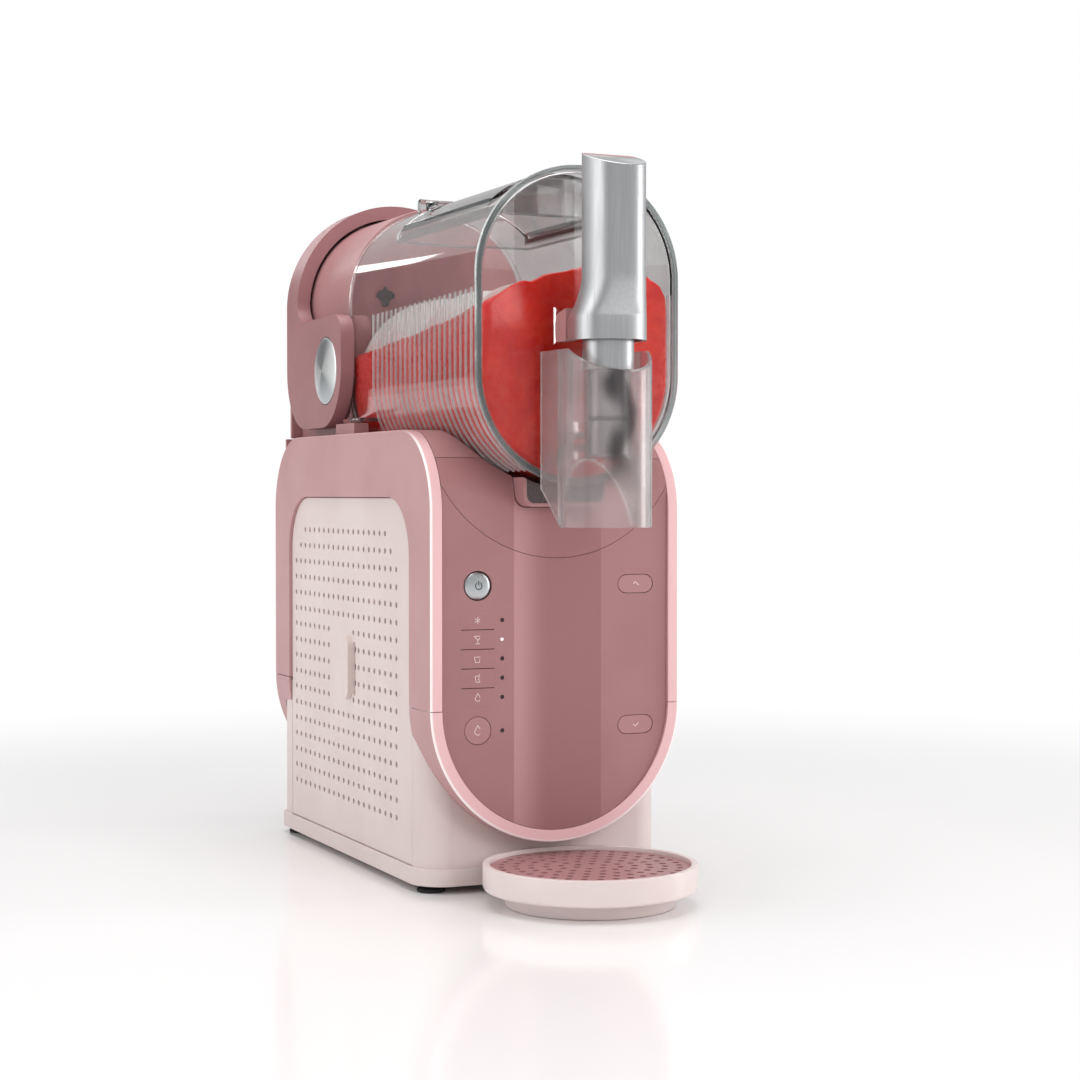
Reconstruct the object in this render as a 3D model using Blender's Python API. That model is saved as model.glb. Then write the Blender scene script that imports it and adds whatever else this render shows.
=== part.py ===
# Countertop frozen-drink maker, built in metres with Z up.
# Origin: middle of the footprint, on the floor. The dispensing side faces -Y.
import math

import bmesh
import bpy
from mathutils import Matrix, Vector

MM = 0.001

# housing
HALF_WIDTH = 83.0          # outer face of the side covers
CHEEK = 7.5                # thickness of the side covers and of the round skirt
INNER = 75.2               # half width of everything that sits between the cheeks
FRONT, BACK = -98.7, 208.0
TOP = 281.0
CORNER = 50.0              # top corner radius of the side covers
SEAM = 112.0               # joint between side covers and skirt
SKIRT_Z = 113.0            # centre height of the round skirt
CREASE = 29.0              # half width of the flat centre column of the front
WING_BACK = 2.3            # how far the front panel wings fall back at the sides
ARC_Z, ARC_R = 289.2, 86.2  # seam between front panel and apron
APRON_TOP = 263.6

# base
BASE_HALF, BASE_FRONT, BASE_BACK = 80.8, -80.0, 200.0
VENT_Y0, VENT_Y1, VENT_TOP, VENT_R = -62.0, 175.0, 239.3, 36.0

# bowl end
AUGER_Z = 313.0
CRADLE_R = 66.8
BOWL_HALF, BOWL_UP_Z = 64.5, 370.5
BOWL_FRONT, BOWL_REAR = -130.0, 98.0
TOWER_FRONT, TOWER_HALF, TOWER_UP_Z = 100.0, 63.5, 374.0
PIVOT_Y, PIVOT_Z = 118.0, 325.6
BAIL_IN, BAIL_OUT = 65.6, 75.0

# tap
TAP_Y = -168.0
TAP_PIVOT_Y, TAP_PIVOT_Z = -148.0, 341.0
SHROUD_Y, SHROUD_R = -165.0, 26.7
LID_Y, LID_Z = 56.0, 434.0

# tray
TRAY_Y, TRAY_R, TRAY_TOP = -144.5, 63.5, 24.8

PAINTS = {
    "rose": ("C99FA0", 0.42, 0.0),
    "deep_rose": ("A97778", 0.40, 0.0),
    "cream": ("E3D6D2", 0.45, 0.0),
    "clear": ("C9C6C6", 0.08, 0.0),
    "smoke": ("8E8888", 0.10, 0.0),
    "brushed": ("B9BABB", 0.30, 1.0),
    "steel": ("A8ABAD", 0.25, 1.0),
    "chrome": ("D5D8DA", 0.12, 1.0),
    "white": ("EFEDEA", 0.40, 0.0),
    "black": ("1C1C1E", 0.50, 0.0),
    "rubber": ("202022", 0.85, 0.0),
    "copper": ("B87352", 0.30, 1.0),
    "alloy": ("C2C6C9", 0.35, 1.0),
    "board": ("1E5A3C", 0.50, 0.0),
    "lens": ("F2F0EC", 0.20, 0.0),
}


def linear(channel):
    c = int(channel, 16) / 255.0
    return c / 12.92 if c <= 0.04045 else ((c + 0.055) / 1.055) ** 2.4


def paint(obj, key):
    hexa, rough, metal = PAINTS[key]
    mat = bpy.data.materials.get(key)
    if mat is None:
        mat = bpy.data.materials.new(key)
        mat.use_nodes = True
        shader = mat.node_tree.nodes["Principled BSDF"]
        rgb = [linear(hexa[i:i + 2]) for i in (0, 2, 4)]
        shader.inputs["Base Color"].default_value = (*rgb, 1.0)
        shader.inputs["Roughness"].default_value = rough
        shader.inputs["Metallic"].default_value = metal
    obj.data.materials.clear()
    obj.data.materials.append(mat)


def arc(cx, cy, r, a0, a1, n):
    """Points on a circle from a0 to a1 degrees, ends included."""
    steps = [math.radians(a0 + (a1 - a0) * i / n) for i in range(n + 1)]
    return [(cx + r * math.cos(a), cy + r * math.sin(a)) for a in steps]


def fillet(corners, n=6):
    """Closed outline through (x, y, radius) corners, each one rounded."""
    out = []
    for i, (x, y, r) in enumerate(corners):
        if r <= 0:
            out.append((x, y))
            continue
        p, q = corners[i - 1], corners[(i + 1) % len(corners)]
        here = Vector((x, y))
        u = (Vector(p[:2]) - here).normalized()
        v = (Vector(q[:2]) - here).normalized()
        half = u.angle(v) / 2
        middle = here + (u + v).normalized() * (r / math.sin(half))
        start = here + u * (r / math.tan(half)) - middle
        end = here + v * (r / math.tan(half)) - middle
        sweep = start.angle(end)
        sign = 1 if start.x * end.y - start.y * end.x > 0 else -1
        for k in range(n + 1):
            a = sign * sweep * k / n
            out.append((middle.x + start.x * math.cos(a) - start.y * math.sin(a),
                        middle.y + start.x * math.sin(a) + start.y * math.cos(a)))
    return out


def finish_mesh(name, bm):
    bmesh.ops.remove_doubles(bm, verts=bm.verts, dist=1e-7)
    bmesh.ops.recalc_face_normals(bm, faces=bm.faces)
    mesh = bpy.data.meshes.new(name)
    bm.to_mesh(mesh)
    bm.free()
    obj = bpy.data.objects.new(name, mesh)
    bpy.context.collection.objects.link(obj)
    return obj


def place(axis, a, b, t):
    """Profile point (a, b) at height t along an axis."""
    spot = {"X": (t, a, b), "Y": (a, t, b), "Z": (a, b, t)}[axis]
    return Vector(spot) * MM


def prism(name, outline, axis, lo, hi):
    """Outline pushed along an axis; X takes (y, z), Y takes (x, z), Z takes (x, y)."""
    bm = bmesh.new()
    rings = [[bm.verts.new(place(axis, a, b, t)) for a, b in outline] for t in (lo, hi)]
    n = len(outline)
    for i in range(n):
        j = (i + 1) % n
        bm.faces.new((rings[0][i], rings[0][j], rings[1][j], rings[1][i]))
    bm.faces.new(rings[0])
    bm.faces.new(rings[1])
    return finish_mesh(name, bm)


def box(name, x0, x1, y0, y1, z0, z1):
    return prism(name, [(x0, y0), (x1, y0), (x1, y1), (x0, y1)], "Z", z0, z1)


def rod(name, axis, a, b, r, lo, hi, n=32):
    """Round bar; (a, b) is its centre across the axis."""
    return prism(name, arc(a, b, r, 0, 360, n)[:-1], axis, lo, hi)


def lathe(name, profile, axis, a, b, n=32):
    """Closed (radius, height) profile turned about an axis through (a, b)."""
    bm = bmesh.new()
    rings = []
    for r, t in profile:
        if r == 0:
            rings.append([bm.verts.new(place(axis, a, b, t))] * n)
        else:
            rings.append([bm.verts.new(place(axis, a + r * math.cos(2 * math.pi * k / n),
                                             b + r * math.sin(2 * math.pi * k / n), t))
                          for k in range(n)])
    for i in range(len(rings)):
        one, two = rings[i], rings[(i + 1) % len(rings)]
        for k in range(n):
            m = (k + 1) % n
            quad = []
            for v in (one[k], one[m], two[m], two[k]):
                if v not in quad:
                    quad.append(v)
            if len(quad) > 2:
                bm.faces.new(quad)
    return finish_mesh(name, bm)


def loft(name, sections):
    """Skin through equal-length rings of 3-D points, capped at both ends."""
    bm = bmesh.new()
    rings = [[bm.verts.new(Vector(p) * MM) for p in s] for s in sections]
    n = len(rings[0])
    for one, two in zip(rings, rings[1:]):
        for i in range(n):
            j = (i + 1) % n
            bm.faces.new((one[i], one[j], two[j], two[i]))
    bm.faces.new(rings[0])
    bm.faces.new(rings[-1])
    return finish_mesh(name, bm)


def pipe(name, points, r, n=10):
    """Round tube along a polyline."""
    spots = [Vector(p) for p in points]
    rings = []
    side = Vector((1, 0, 0))
    for i, p in enumerate(spots):
        ahead = (spots[min(i + 1, len(spots) - 1)] - spots[max(i - 1, 0)]).normalized()
        side = (side - ahead * side.dot(ahead)).normalized()
        up = ahead.cross(side)
        rings.append([p + side * (r * math.cos(2 * math.pi * k / n))
                      + up * (r * math.sin(2 * math.pi * k / n)) for k in range(n)])
    return loft(name, rings)


def combine(target, tool, how):
    """Exact boolean, settled into the mesh; the tool is used up."""
    mod = target.modifiers.new(how, "BOOLEAN")
    mod.object, mod.operation, mod.solver = tool, how, "EXACT"
    graph = bpy.context.evaluated_depsgraph_get()
    settled = bpy.data.meshes.new_from_object(target.evaluated_get(graph))
    target.modifiers.clear()
    spent = [target.data, tool.data]
    target.data = settled
    settled.name = target.name
    bpy.data.objects.remove(tool)
    for mesh in spent:
        bpy.data.meshes.remove(mesh)
    return target


def cut(target, *tools):
    for tool in tools:
        combine(target, tool, "DIFFERENCE")
    return target


def join(target, *tools):
    for tool in tools:
        combine(target, tool, "UNION")
    return target


def keep(target, tool):
    return combine(target, tool, "INTERSECT")


def done(obj, colour, pivot=None, smooth=35):
    """Tidy the mesh, colour it, and put the origin on the joint axis."""
    bm = bmesh.new()
    bm.from_mesh(obj.data)
    bmesh.ops.remove_doubles(bm, verts=bm.verts, dist=2e-6)
    bmesh.ops.dissolve_degenerate(bm, edges=bm.edges, dist=1e-6)
    bmesh.ops.dissolve_limit(bm, angle_limit=math.radians(0.2), verts=bm.verts,
                             edges=bm.edges)
    bmesh.ops.triangulate(bm, faces=bm.faces)
    bmesh.ops.recalc_face_normals(bm, faces=bm.faces)
    bm.to_mesh(obj.data)
    bm.free()
    if pivot:
        spot = Vector(pivot) * MM
        obj.data.transform(Matrix.Translation(-spot))
        obj.location = spot
    obj.data.shade_smooth()
    obj.data.set_sharp_from_angle(angle=math.radians(smooth))
    paint(obj, colour)
    return obj


def base_outline(grow=0.0):
    g = grow
    x, f, b = BASE_HALF + g, BASE_FRONT - g, BASE_BACK + g
    return fillet([(-x, f, 19 + g), (x, f, 19 + g), (x, b, 14 + g), (-x, b, 14 + g)], 6)


def house_outline(inset=0.0, low=60.0):
    i = inset
    r = CORNER - i
    return fillet([(FRONT + i, low, 0), (BACK - i, low, 0), (BACK - i, TOP - i, r),
                   (FRONT + i, TOP - i, r)], 14)


def deck_outline(inset=0.0, low=60.0, back=204.6):
    """Side view of the middle of the housing: only its front top corner is round."""
    i = inset
    return fillet([(FRONT + i, low, 0), (back, low, 0), (back, TOP - i, 0),
                   (FRONT + i, TOP - i, CORNER - i)], 14)


def vent_outline(grow=0.0, low=15.4):
    g = grow
    return fillet([(VENT_Y0 - g, low, 0), (VENT_Y1 + g, low, 0),
                   (VENT_Y1 + g, VENT_TOP + g, VENT_R + g),
                   (VENT_Y0 - g, VENT_TOP + g, VENT_R + g)], 10)


def wing_y(x):
    """Front surface of the panel: flat in the middle, falling back at the sides."""
    over = max(0.0, abs(x) - CREASE)
    return FRONT + WING_BACK * over / (INNER - CREASE)


def front_slab(name, back, z0, z1):
    pts = [(-INNER, wing_y(INNER)), (-CREASE, FRONT), (CREASE, FRONT),
           (INNER, wing_y(INNER)), (INNER, back), (-INNER, back)]
    return prism(name, pts, "Z", z0, z1)


def stadium(half, low_z, up_z, n=16):
    """Upright long-round outline, centre line at x = 0."""
    return arc(0, low_z, half, 180, 360, n) + arc(0, up_z, half, 0, 180, n)


# ---------------------------------------------------------------- base


def base_tub():
    body = prism("base_tub", base_outline(), "Z", 13.0, 110.0)
    flange = fillet([(-82.4, -83.4, 21), (82.4, -83.4, 21), (82.4, 203.2, 15),
                     (-82.4, 203.2, 15)], 6)
    join(body, prism("flange", flange, "Z", 4.6, 15.0))
    cut(body, prism("well", base_outline(-3.2), "Z", 9.0, 120.0))
    for s in (-1, 1):
        x0, x1 = sorted((s * 78.4, s * 90.0))
        cut(body, prism("bay", vent_outline(0.4, 15.0), "X", x0, x1))
        x0, x1 = sorted((s * 70.0, s * 90.0))
        cut(body, prism("window", fillet([(-46, 26, 6), (160, 26, 6), (160, 130, 0),
                                          (-46, 130, 0)], 4), "X", x0, x1))
    cut(body, rod("scallop", "Z", 0, TRAY_Y, TRAY_R + 0.6, -1, 30, 64))
    for x, y in feet_spots():
        join(body, rod("boss", "Z", x, y, 9.2, 2.4, 5.0, 18))
        cut(body, rod("socket", "Z", x, y, 4.4, 0.0, 7.0, 10))
    return done(body, "cream")


def feet_spots():
    return [(-70.5, -67.5), (70.5, -67.5), (-70.5, 186.0), (70.5, 186.0)]


def feet():
    names = ("foot_front_left", "foot_front_right", "foot_back_left", "foot_back_right")
    for name, (x, y) in zip(names, feet_spots()):
        profile = [(0, 0.0), (8.2, 0.0), (8.9, 0.6), (8.9, 2.1), (4.1, 2.1), (4.1, 6.6),
                   (0, 6.6)]
        done(lathe(name, profile, "Z", x, y, 18), "rubber")


def skirt(name, y0, y1):
    """Round bottom of the housing, in front of and behind the base."""
    edge = 180 / math.pi * math.asin((SKIRT_Z - SEAM) / HALF_WIDTH)
    inner = HALF_WIDTH - CHEEK
    ring = (arc(0, SKIRT_Z, HALF_WIDTH, 180 + edge, 360 - edge, 40)
            + arc(0, SKIRT_Z, inner, 360 - edge, 180 + edge, 40))
    body = prism(name, ring, "Y", y0, y1)
    cut(body, prism("clear", base_outline(0.35), "Z", -5, 200))
    return done(body, "rose")


def side_cover(name, s):
    x0, x1 = sorted((s * (HALF_WIDTH - CHEEK), s * HALF_WIDTH))
    body = prism(name, house_outline(0, SEAM + 0.4), "X", x0, x1)
    cut(body, prism("arch", vent_outline(0.35, 50.0), "X", -100 if s < 0 else 60,
                    -60 if s < 0 else 100))
    return done(body, "rose")


def vent_panel(name, s):
    """Perforated side panel with a raised finger pull; it lifts straight off."""
    x0, x1 = sorted((s * 78.8, s * BASE_HALF))
    body = prism(name, vent_outline(), "X", x0, x1)
    pull = fillet([(46, 107, 8), (62, 107, 8), (62, 148, 8), (46, 148, 8)], 5)
    tab = prism("pull", pull, "X", *sorted((s * 79.5, s * 90.0)))
    lean = [(BASE_HALF - 1, 90), (BASE_HALF + 0.1, 64), (HALF_WIDTH, 50), (HALF_WIDTH, 40),
            (70, 40), (70, 90)]
    keep(tab, prism("lean", [(s * x, y) for x, y in lean], "Z", 90, 160))
    join(body, tab)
    return done(body, "cream")


# ---------------------------------------------------------------- front


def panel_outline():
    r = ARC_R + 0.15
    side = ARC_Z - math.sqrt(r * r - INNER * INNER)
    reach = math.degrees(math.asin(INNER / r))
    return (arc(0, SKIRT_Z, INNER, 360, 180, 36)
            + [(-INNER, side)]
            + arc(0, ARC_Z, r, 270 - reach, 270 + reach, 20)[1:-1]
            + [(INNER, side)])


def pill(cx, cz, half, r, n=6):
    return arc(cx + half - r, cz, r, -90, 90, n) + arc(cx - half + r, cz, r, 90, 270, n)


KEY_Z = (166.1, 154.5, 143.0, 131.4, 119.8)
KEY_X = -52.2


def front_panel():
    body = front_slab("front_panel", -93.6, 20, 260)
    keep(body, prism("shape", panel_outline(), "Y", -120, -80))
    cut(body,
        rod("power", "Y", KEY_X, 186.8, 9.0, -120, -80, 28),
        rod("rinse", "Y", KEY_X, 100.0, 8.6, -120, -80, 28),
        prism("up", pill(53.2, 186.4, 12.5, 5.9), "Y", -120, -80),
        prism("down", pill(53.2, 99.4, 12.5, 5.9), "Y", -120, -80),
        prism("keys", [(KEY_X - 10.8, 114.0), (KEY_X + 10.8, 114.0),
                       (KEY_X + 10.8, 171.9), (KEY_X - 10.8, 171.9)], "Y", -120, -80))
    for z in (*KEY_Z, 99.6):
        cut(body, rod("led", "Y", -36.6, z, 1.3, -120, -80, 8))
    return done(body, "deep_rose", smooth=2)


def light_guide():
    """Clear bar behind the panel with one pin for each status light."""
    bar = box("status_light_guide", -38.6, -34.6, -92.6, -91.0, 94.0, 171.0)
    for z in (*KEY_Z, 99.6):
        join(bar, rod("pin", "Y", -36.6, z, 1.0, wing_y(-36.6) + 0.2, -92.0, 8))
    return done(bar, "lens")


def preset_keys():
    names = ("key_slush", "key_frozen_cocktail", "key_frappe", "key_milkshake",
             "key_frozen_juice")
    for name, z in zip(names, KEY_Z):
        x0, x1 = KEY_X - 10.5, KEY_X + 10.5
        pts = [(x0, wing_y(x0)), (x1, wing_y(x1)), (x1, -92.2), (x0, -92.2)]
        done(prism(name, pts, "Z", z - 5.6, z + 5.6), "deep_rose",
             (KEY_X, wing_y(KEY_X), z))


def round_buttons():
    y = wing_y(KEY_X)
    dome = [(0, y - 1.6), (4.5, y - 1.2), (7.6, y - 0.1), (8.6, y + 1.0), (8.6, y + 5.0),
            (0, y + 5.0)]
    done(lathe("power_button", dome, "Y", KEY_X, 186.8, 28), "chrome",
         (KEY_X, y, 186.8))
    face = front_slab("rinse_button", -92.4, 80, 120)
    keep(face, rod("shape", "Y", KEY_X, 100.0, 8.3, -120, -80))
    done(face, "deep_rose", (KEY_X, y, 100.0))
    for name, z in (("temperature_up_button", 186.4), ("temperature_down_button", 99.4)):
        face = front_slab(name, -92.4, z - 20, z + 20)
        keep(face, prism("shape", pill(53.2, z, 12.2, 5.6), "Y", -120, -80))
        done(face, "deep_rose", (53.2, wing_y(53.2), z))


def catch_slot(grow):
    g = grow
    return fillet([(-28 - g, 234 - g, 7), (28 + g, 234 - g, 7), (28 + g, 262, 0),
                   (-28 - g, 262, 0)], 5)


def front_apron():
    body = front_slab("front_apron", 40, 190, 270)
    keep(body, prism("outer", deck_outline(0), "X", -INNER, INNER))
    cut(body, prism("inner", deck_outline(3.5), "X", -90, 90))
    keep(body, prism("arc", apron_outline(), "Y", -130, 60))
    cut(body, rod("cradle", "Y", 0, AUGER_Z, CRADLE_R, -130, 90, 64),
        prism("slot", catch_slot(0.5), "Y", -130, -60))
    return done(body, "deep_rose", smooth=2.4)


def apron_outline():
    r = ARC_R - 0.15
    reach = math.degrees(math.asin(INNER / r))
    return arc(0, ARC_Z, r, 270 - reach, 270 + reach, 24) + [
        (INNER, APRON_TOP - 0.15), (-INNER, APRON_TOP - 0.15)]


def top_cover():
    """Deck between the cheeks with the cradle the bowl slides into."""
    body = prism("top_cover", deck_outline(0, 100), "X", -INNER, INNER)
    cut(body, prism("inside", deck_outline(4.2, 90, 200.4), "X", -90, 90),
        box("apron_space", -90, 90, -120, 230, 80, APRON_TOP + 0.15))
    under = prism("cradle", arc(0, AUGER_Z, CRADLE_R + 3, 180, 360, 32), "Y", -98, 103)
    join(under, box("pocket", -31.2, 31.2, -98, -52.6, 230.8, 256))
    keep(under, prism("trim", deck_outline(3.8, 100, 150), "X", -90, 90))
    join(body, under)
    for s in (-1, 1):
        x0, x1 = sorted((s * 64.0, s * 74.0))
        join(body, box("rail", x0, x1, 62, 99, 279, 288.6))
    cut(body, rod("bore", "Y", 0, AUGER_Z, CRADLE_R, -130, 100, 64),
        prism("slot", catch_slot(0.5), "Y", -130, -55),
        box("opening", -55, 55, 107, 196, 250, 300))
    return done(body, "rose")


def condensation_catch():
    """Small drip pocket under the front of the bowl; it pulls forward."""
    shape = fillet([(-28, 234, 7), (28, 234, 7), (28, 262, 0), (-28, 262, 0)], 5)
    inner = fillet([(-26, 236, 5.5), (26, 236, 5.5), (26, 270, 0), (-26, 270, 0)], 5)
    body = prism("condensation_catch", shape, "Y", -110, -56)
    cut(body, prism("pocket", inner, "Y", -108, -58),
        rod("over", "Y", 0, AUGER_Z, 67.3, -130, -40, 64))
    return done(body, "deep_rose")


# ---------------------------------------------------------------- tower and bail


def tower_housing():
    up = TOWER_UP_Z
    outer = [(-TOWER_HALF, 281.4), (TOWER_HALF, 281.4)] + arc(0, up, TOWER_HALF, 0, 180, 28)
    r = TOWER_HALF - 3
    inner = [(-r, 270), (r, 270)] + arc(0, up, r, 0, 180, 28)
    body = prism("tower_housing", outer, "Y", TOWER_FRONT, 204.6)
    for s in (-1, 1):
        x0, x1 = sorted((s * 58.0, s * 65.2))
        join(body, rod("boss", "X", PIVOT_Y, PIVOT_Z, 17, x0, x1))
    hollow = prism("hollow", inner, "Y", TOWER_FRONT + 3, 215)
    for s in (-1, 1):
        x0, x1 = sorted((s * 55.0, s * 70.0))
        cut(hollow, rod("keep", "X", PIVOT_Y, PIVOT_Z, 12, x0, x1))
    cut(body, hollow,
        rod("shaft", "Y", 0, AUGER_Z, 9, 90, 110, 24),
        rod("line", "Y", 22, AUGER_Z, 5, 90, 110, 16))
    for s in (-1, 1):
        cut(body, rod("pin", "X", PIVOT_Y, PIVOT_Z, 5.3, *sorted((s * 50, s * 70)), 20))
    return done(body, "rose")


def tower_back():
    outline = [(-71.5, 281.6), (71.5, 281.6)] + arc(0, TOWER_UP_Z, 71.5, 0, 180, 32)
    return done(prism("tower_back_cover", outline, "Y", 205.0, BACK), "rose")


def bail_handle():
    """Carrying and locking handle: two ears joined by an arch."""
    ear = fillet([(86, 287, 40), (204, 287, 42), (204, TOWER_UP_Z, 0),
                  (180, TOWER_UP_Z, 0), (180, 361.8, 16), (86, 363, 14)], 8)
    arch = (arc(0, TOWER_UP_Z, BAIL_OUT, 0, 180, 32)
            + arc(0, TOWER_UP_Z, BAIL_IN, 180, 0, 32))
    body = prism("bail_handle", arch, "Y", 180, 204)
    for s in (-1, 1):
        x0, x1 = sorted((s * BAIL_IN, s * BAIL_OUT))
        join(body, prism("ear", ear, "X", x0, x1))
    for s in (-1, 1):
        cut(body, rod("seat", "X", PIVOT_Y, PIVOT_Z, 23.3, *sorted((s * 73, s * 80)), 40),
            rod("hole", "X", PIVOT_Y, PIVOT_Z, 5.3, *sorted((s * 60, s * 71.8)), 20))
    return done(body, "rose", (0, PIVOT_Y, PIVOT_Z))


def pivots():
    for side, s in (("left", -1), ("right", 1)):
        dome = [(0, s * 73.3), (22.8, s * 73.3), (22.8, s * 75.2), (21.0, s * 76.2),
                (12, s * 77.3), (0, s * 77.8)]
        done(lathe(f"bail_cap_{side}", dome, "X", PIVOT_Y, PIVOT_Z, 40), "brushed",
             (0, PIVOT_Y, PIVOT_Z))
        done(rod(f"bail_pin_{side}", "X", PIVOT_Y, PIVOT_Z, 5.0,
                 *sorted((s * 56, s * 71.4)), 20), "steel")


# ---------------------------------------------------------------- cold drum and drive


def evaporator_drum():
    profile = [(38, 99.7), (38, -66), (35, -72), (28, -75), (5.6, -75), (5.6, -72),
               (27, -72), (33.5, -69.5), (36, -64.5), (36, 99.7)]
    return done(lathe("evaporator_drum", profile, "Y", 0, AUGER_Z, 40), "steel")


def drive_shaft():
    return done(rod("drive_shaft", "Y", 0, AUGER_Z, 5.0, -88, 126, 16), "steel",
                (0, 0, AUGER_Z))


def drum_gasket():
    profile = [(38.5, 94.5), (41.0, 92.5), (45, 94.5), (45, 99.6), (38.5, 99.6)]
    return done(lathe("drum_gasket", profile, "Y", 0, AUGER_Z, 36), "white")


def auger():
    """Scraping screw that turns around the cold drum."""
    r0, r1, thick, turns, steps = 43.0, 60.3, 5.0, 2.5, 52
    y0, y1 = 83.4, -73.6
    rings = []
    for i in range(steps + 1):
        a = 2 * math.pi * turns * i / steps
        y = y0 + (y1 - y0) * i / steps
        c, s = math.cos(a), math.sin(a)
        rings.append([(r * c, y + d, AUGER_Z + r * s)
                      for r, d in ((r0, -thick), (r1, -thick / 2), (r1, thick / 2),
                                   (r0, thick))])
    body = loft("auger", rings)
    sleeve = [(40.5, -84.3), (46, -84.3), (46, 82), (60.3, 82), (60.3, 89), (40.5, 89)]
    join(body, lathe("sleeve", sleeve, "Y", 0, AUGER_Z, 40))
    hub = [(0, -92), (12, -92), (14, -88), (14, -78.5), (5.3, -78.5), (5.3, -88.3),
           (0, -88.3)]
    nose = lathe("hub", hub, "Y", 0, AUGER_Z, 24)
    for a in (20, 140, 260):
        arm = box("arm", 11, 44, -85.6, -79.5, -5, 5)
        arm.data.transform(Matrix.Translation((0, 0, AUGER_Z * MM))
                           @ Matrix.Rotation(math.radians(a), 4, "Y"))
        join(nose, arm)
    join(body, nose)
    scoop = box("scoop", 44, 60.0, -92, -79.5, -4.5, 4.5)
    scoop.data.transform(Matrix.Translation((0, 0, AUGER_Z * MM))
                         @ Matrix.Rotation(math.radians(-40), 4, "Y"))
    link = box("link", 42, 52, -86, -78.3, -8, 8)
    link.data.transform(Matrix.Translation((0, 0, AUGER_Z * MM))
                        @ Matrix.Rotation(math.radians(-40), 4, "Y"))
    join(body, link, scoop)
    return done(body, "white", (0, 0, AUGER_Z))


def gearbox():
    body = rod("gearbox", "Y", 0, AUGER_Z, 32, 127.5, 156, 32)
    join(body, box("plate", -40, 40, 150, 156, AUGER_Z - 24, AUGER_Z + 24))
    cut(body, rod("bore", "Y", 0, AUGER_Z, 6, 120, 127.9, 16))
    return done(body, "alloy")


def auger_motor():
    body = rod("auger_motor", "Y", 0, AUGER_Z, 27, 156.4, 196, 32)
    join(body, rod("boss", "Y", 0, AUGER_Z, 8, 190, 200, 16))
    return done(body, "steel")


# ---------------------------------------------------------------- bowl


def bowl():
    """Clear bowl with its fill port, tap spout and tap bracket."""
    body = prism("bowl", stadium(BOWL_HALF, AUGER_Z, BOWL_UP_Z, 18), "Y", -128, BOWL_REAR)
    join(body, prism("rim", stadium(66, AUGER_Z, BOWL_UP_Z, 18), "Y", BOWL_FRONT, -126))
    join(body, prism("rear", stadium(64.9, AUGER_Z, BOWL_UP_Z, 18), "Y", 94.5, BOWL_REAR))
    inner = prism("inner", stadium(BOWL_HALF - 2.5, AUGER_Z, BOWL_UP_Z, 18), "Y", -126.4,
                  120)
    collar = box("collar", -47.2, 47.2, -119.2, 49.5, 407, 440)
    keep(collar, prism("roof", stadium(BOWL_HALF, AUGER_Z, BOWL_UP_Z, 18), "Y", -128, 90))
    cut(inner, collar)
    cut(body, inner, box("port", -44.8, 44.8, -116.8, 47.2, 380, 450),
        box("hinge_gap", -24.5, 24.5, 46, LID_Y + 3.8, 426, 450))
    for s in (-1, 1):
        x0, x1 = sorted((s * 24.6, s * 30))
        join(body, box("lug", x0, x1, LID_Y - 3.4, LID_Y + 3.4, 425, LID_Z),
             rod("eye", "X", LID_Y, LID_Z, 3.4, x0, x1, 16),
             rod("stub", "X", LID_Y, LID_Z, 1.5, *sorted((s * 20.6, s * 26)), 10))
        x0, x1 = sorted((s * 59, s * 74))
        join(body, box("lock_fin", x0, x1, 50, 84, 289.4, 291.6))
        x0, x1 = sorted((s * 12.4, s * 16.4))
        bracket = fillet([(-128, 330, 0), (-128, 352, 0), (-143, 347.5, 4),
                          (-154.4, 347, 5), (-154.4, 335, 5), (-143, 334.5, 4)], 4)
        join(body, prism("bracket", bracket, "X", x0, x1))
    spout = rod("spout", "Z", 0, TAP_Y, 13.6, 262, 311.6, 28)
    join(spout, box("neck", -9, 9, -160, -128, 262, 284))
    join(body, spout)
    cut(body, rod("chamber", "Z", 0, TAP_Y, 11.5, 250, 320, 28),
        rod("port", "Y", 0, 272.5, 6, -160, -120, 20))
    for s in (-1, 1):
        cut(body, rod("pin", "X", TAP_PIVOT_Y, TAP_PIVOT_Z, 2.7, *sorted((s * 8, s * 20)),
                      14))
    return done(body, "clear")


def fill_lid():
    """Curved lid over the fill port, hinged at the back."""
    reach = math.degrees(math.asin(44.4 / BOWL_HALF))
    roof = (arc(0, BOWL_UP_Z, BOWL_HALF, 90 - reach, 90 + reach, 16)
            + arc(0, BOWL_UP_Z, BOWL_HALF - 2.4, 90 + reach, 90 - reach, 16))
    body = prism("fill_lid", roof, "Y", -99, 46.8)
    for s in (-1, 1):
        x0, x1 = sorted((s * 42.2, s * 44.2))
        join(body, box("side", x0, x1, -99, 46.8, 409, 418))
    under = box("front", -44.2, 44.2, -99, -97, 409, 440)
    keep(under, prism("trim", stadium(BOWL_HALF - 0.2, AUGER_Z, BOWL_UP_Z, 18), "Y", -120,
                      60))
    join(body, under)
    join(body, box("strap", -24.2, 24.2, 43, LID_Y, 432.2, 434.6))
    join(body, rod("barrel", "X", LID_Y, LID_Z, 3.2, -24.2, 24.2, 16))
    cut(body, *[rod("hole", "X", LID_Y, LID_Z, 1.8, *sorted((s * 19, s * 30)), 10)
                for s in (-1, 1)])
    return done(body, "clear", (0, LID_Y, LID_Z))


# ---------------------------------------------------------------- tap


def grip_flare(z):
    """How far the tap handle has widened at a height, 0 to 1."""
    return min(1.0, max(0.0, (368 - z) / 25)) ** 2


def grip_half(z):
    return 18.4 + 3.6 * grip_flare(z)


def grip_back(z):
    """Y of the flat back of the handle shell."""
    return TAP_Y - 3.4 + 12 * grip_flare(z)


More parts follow.
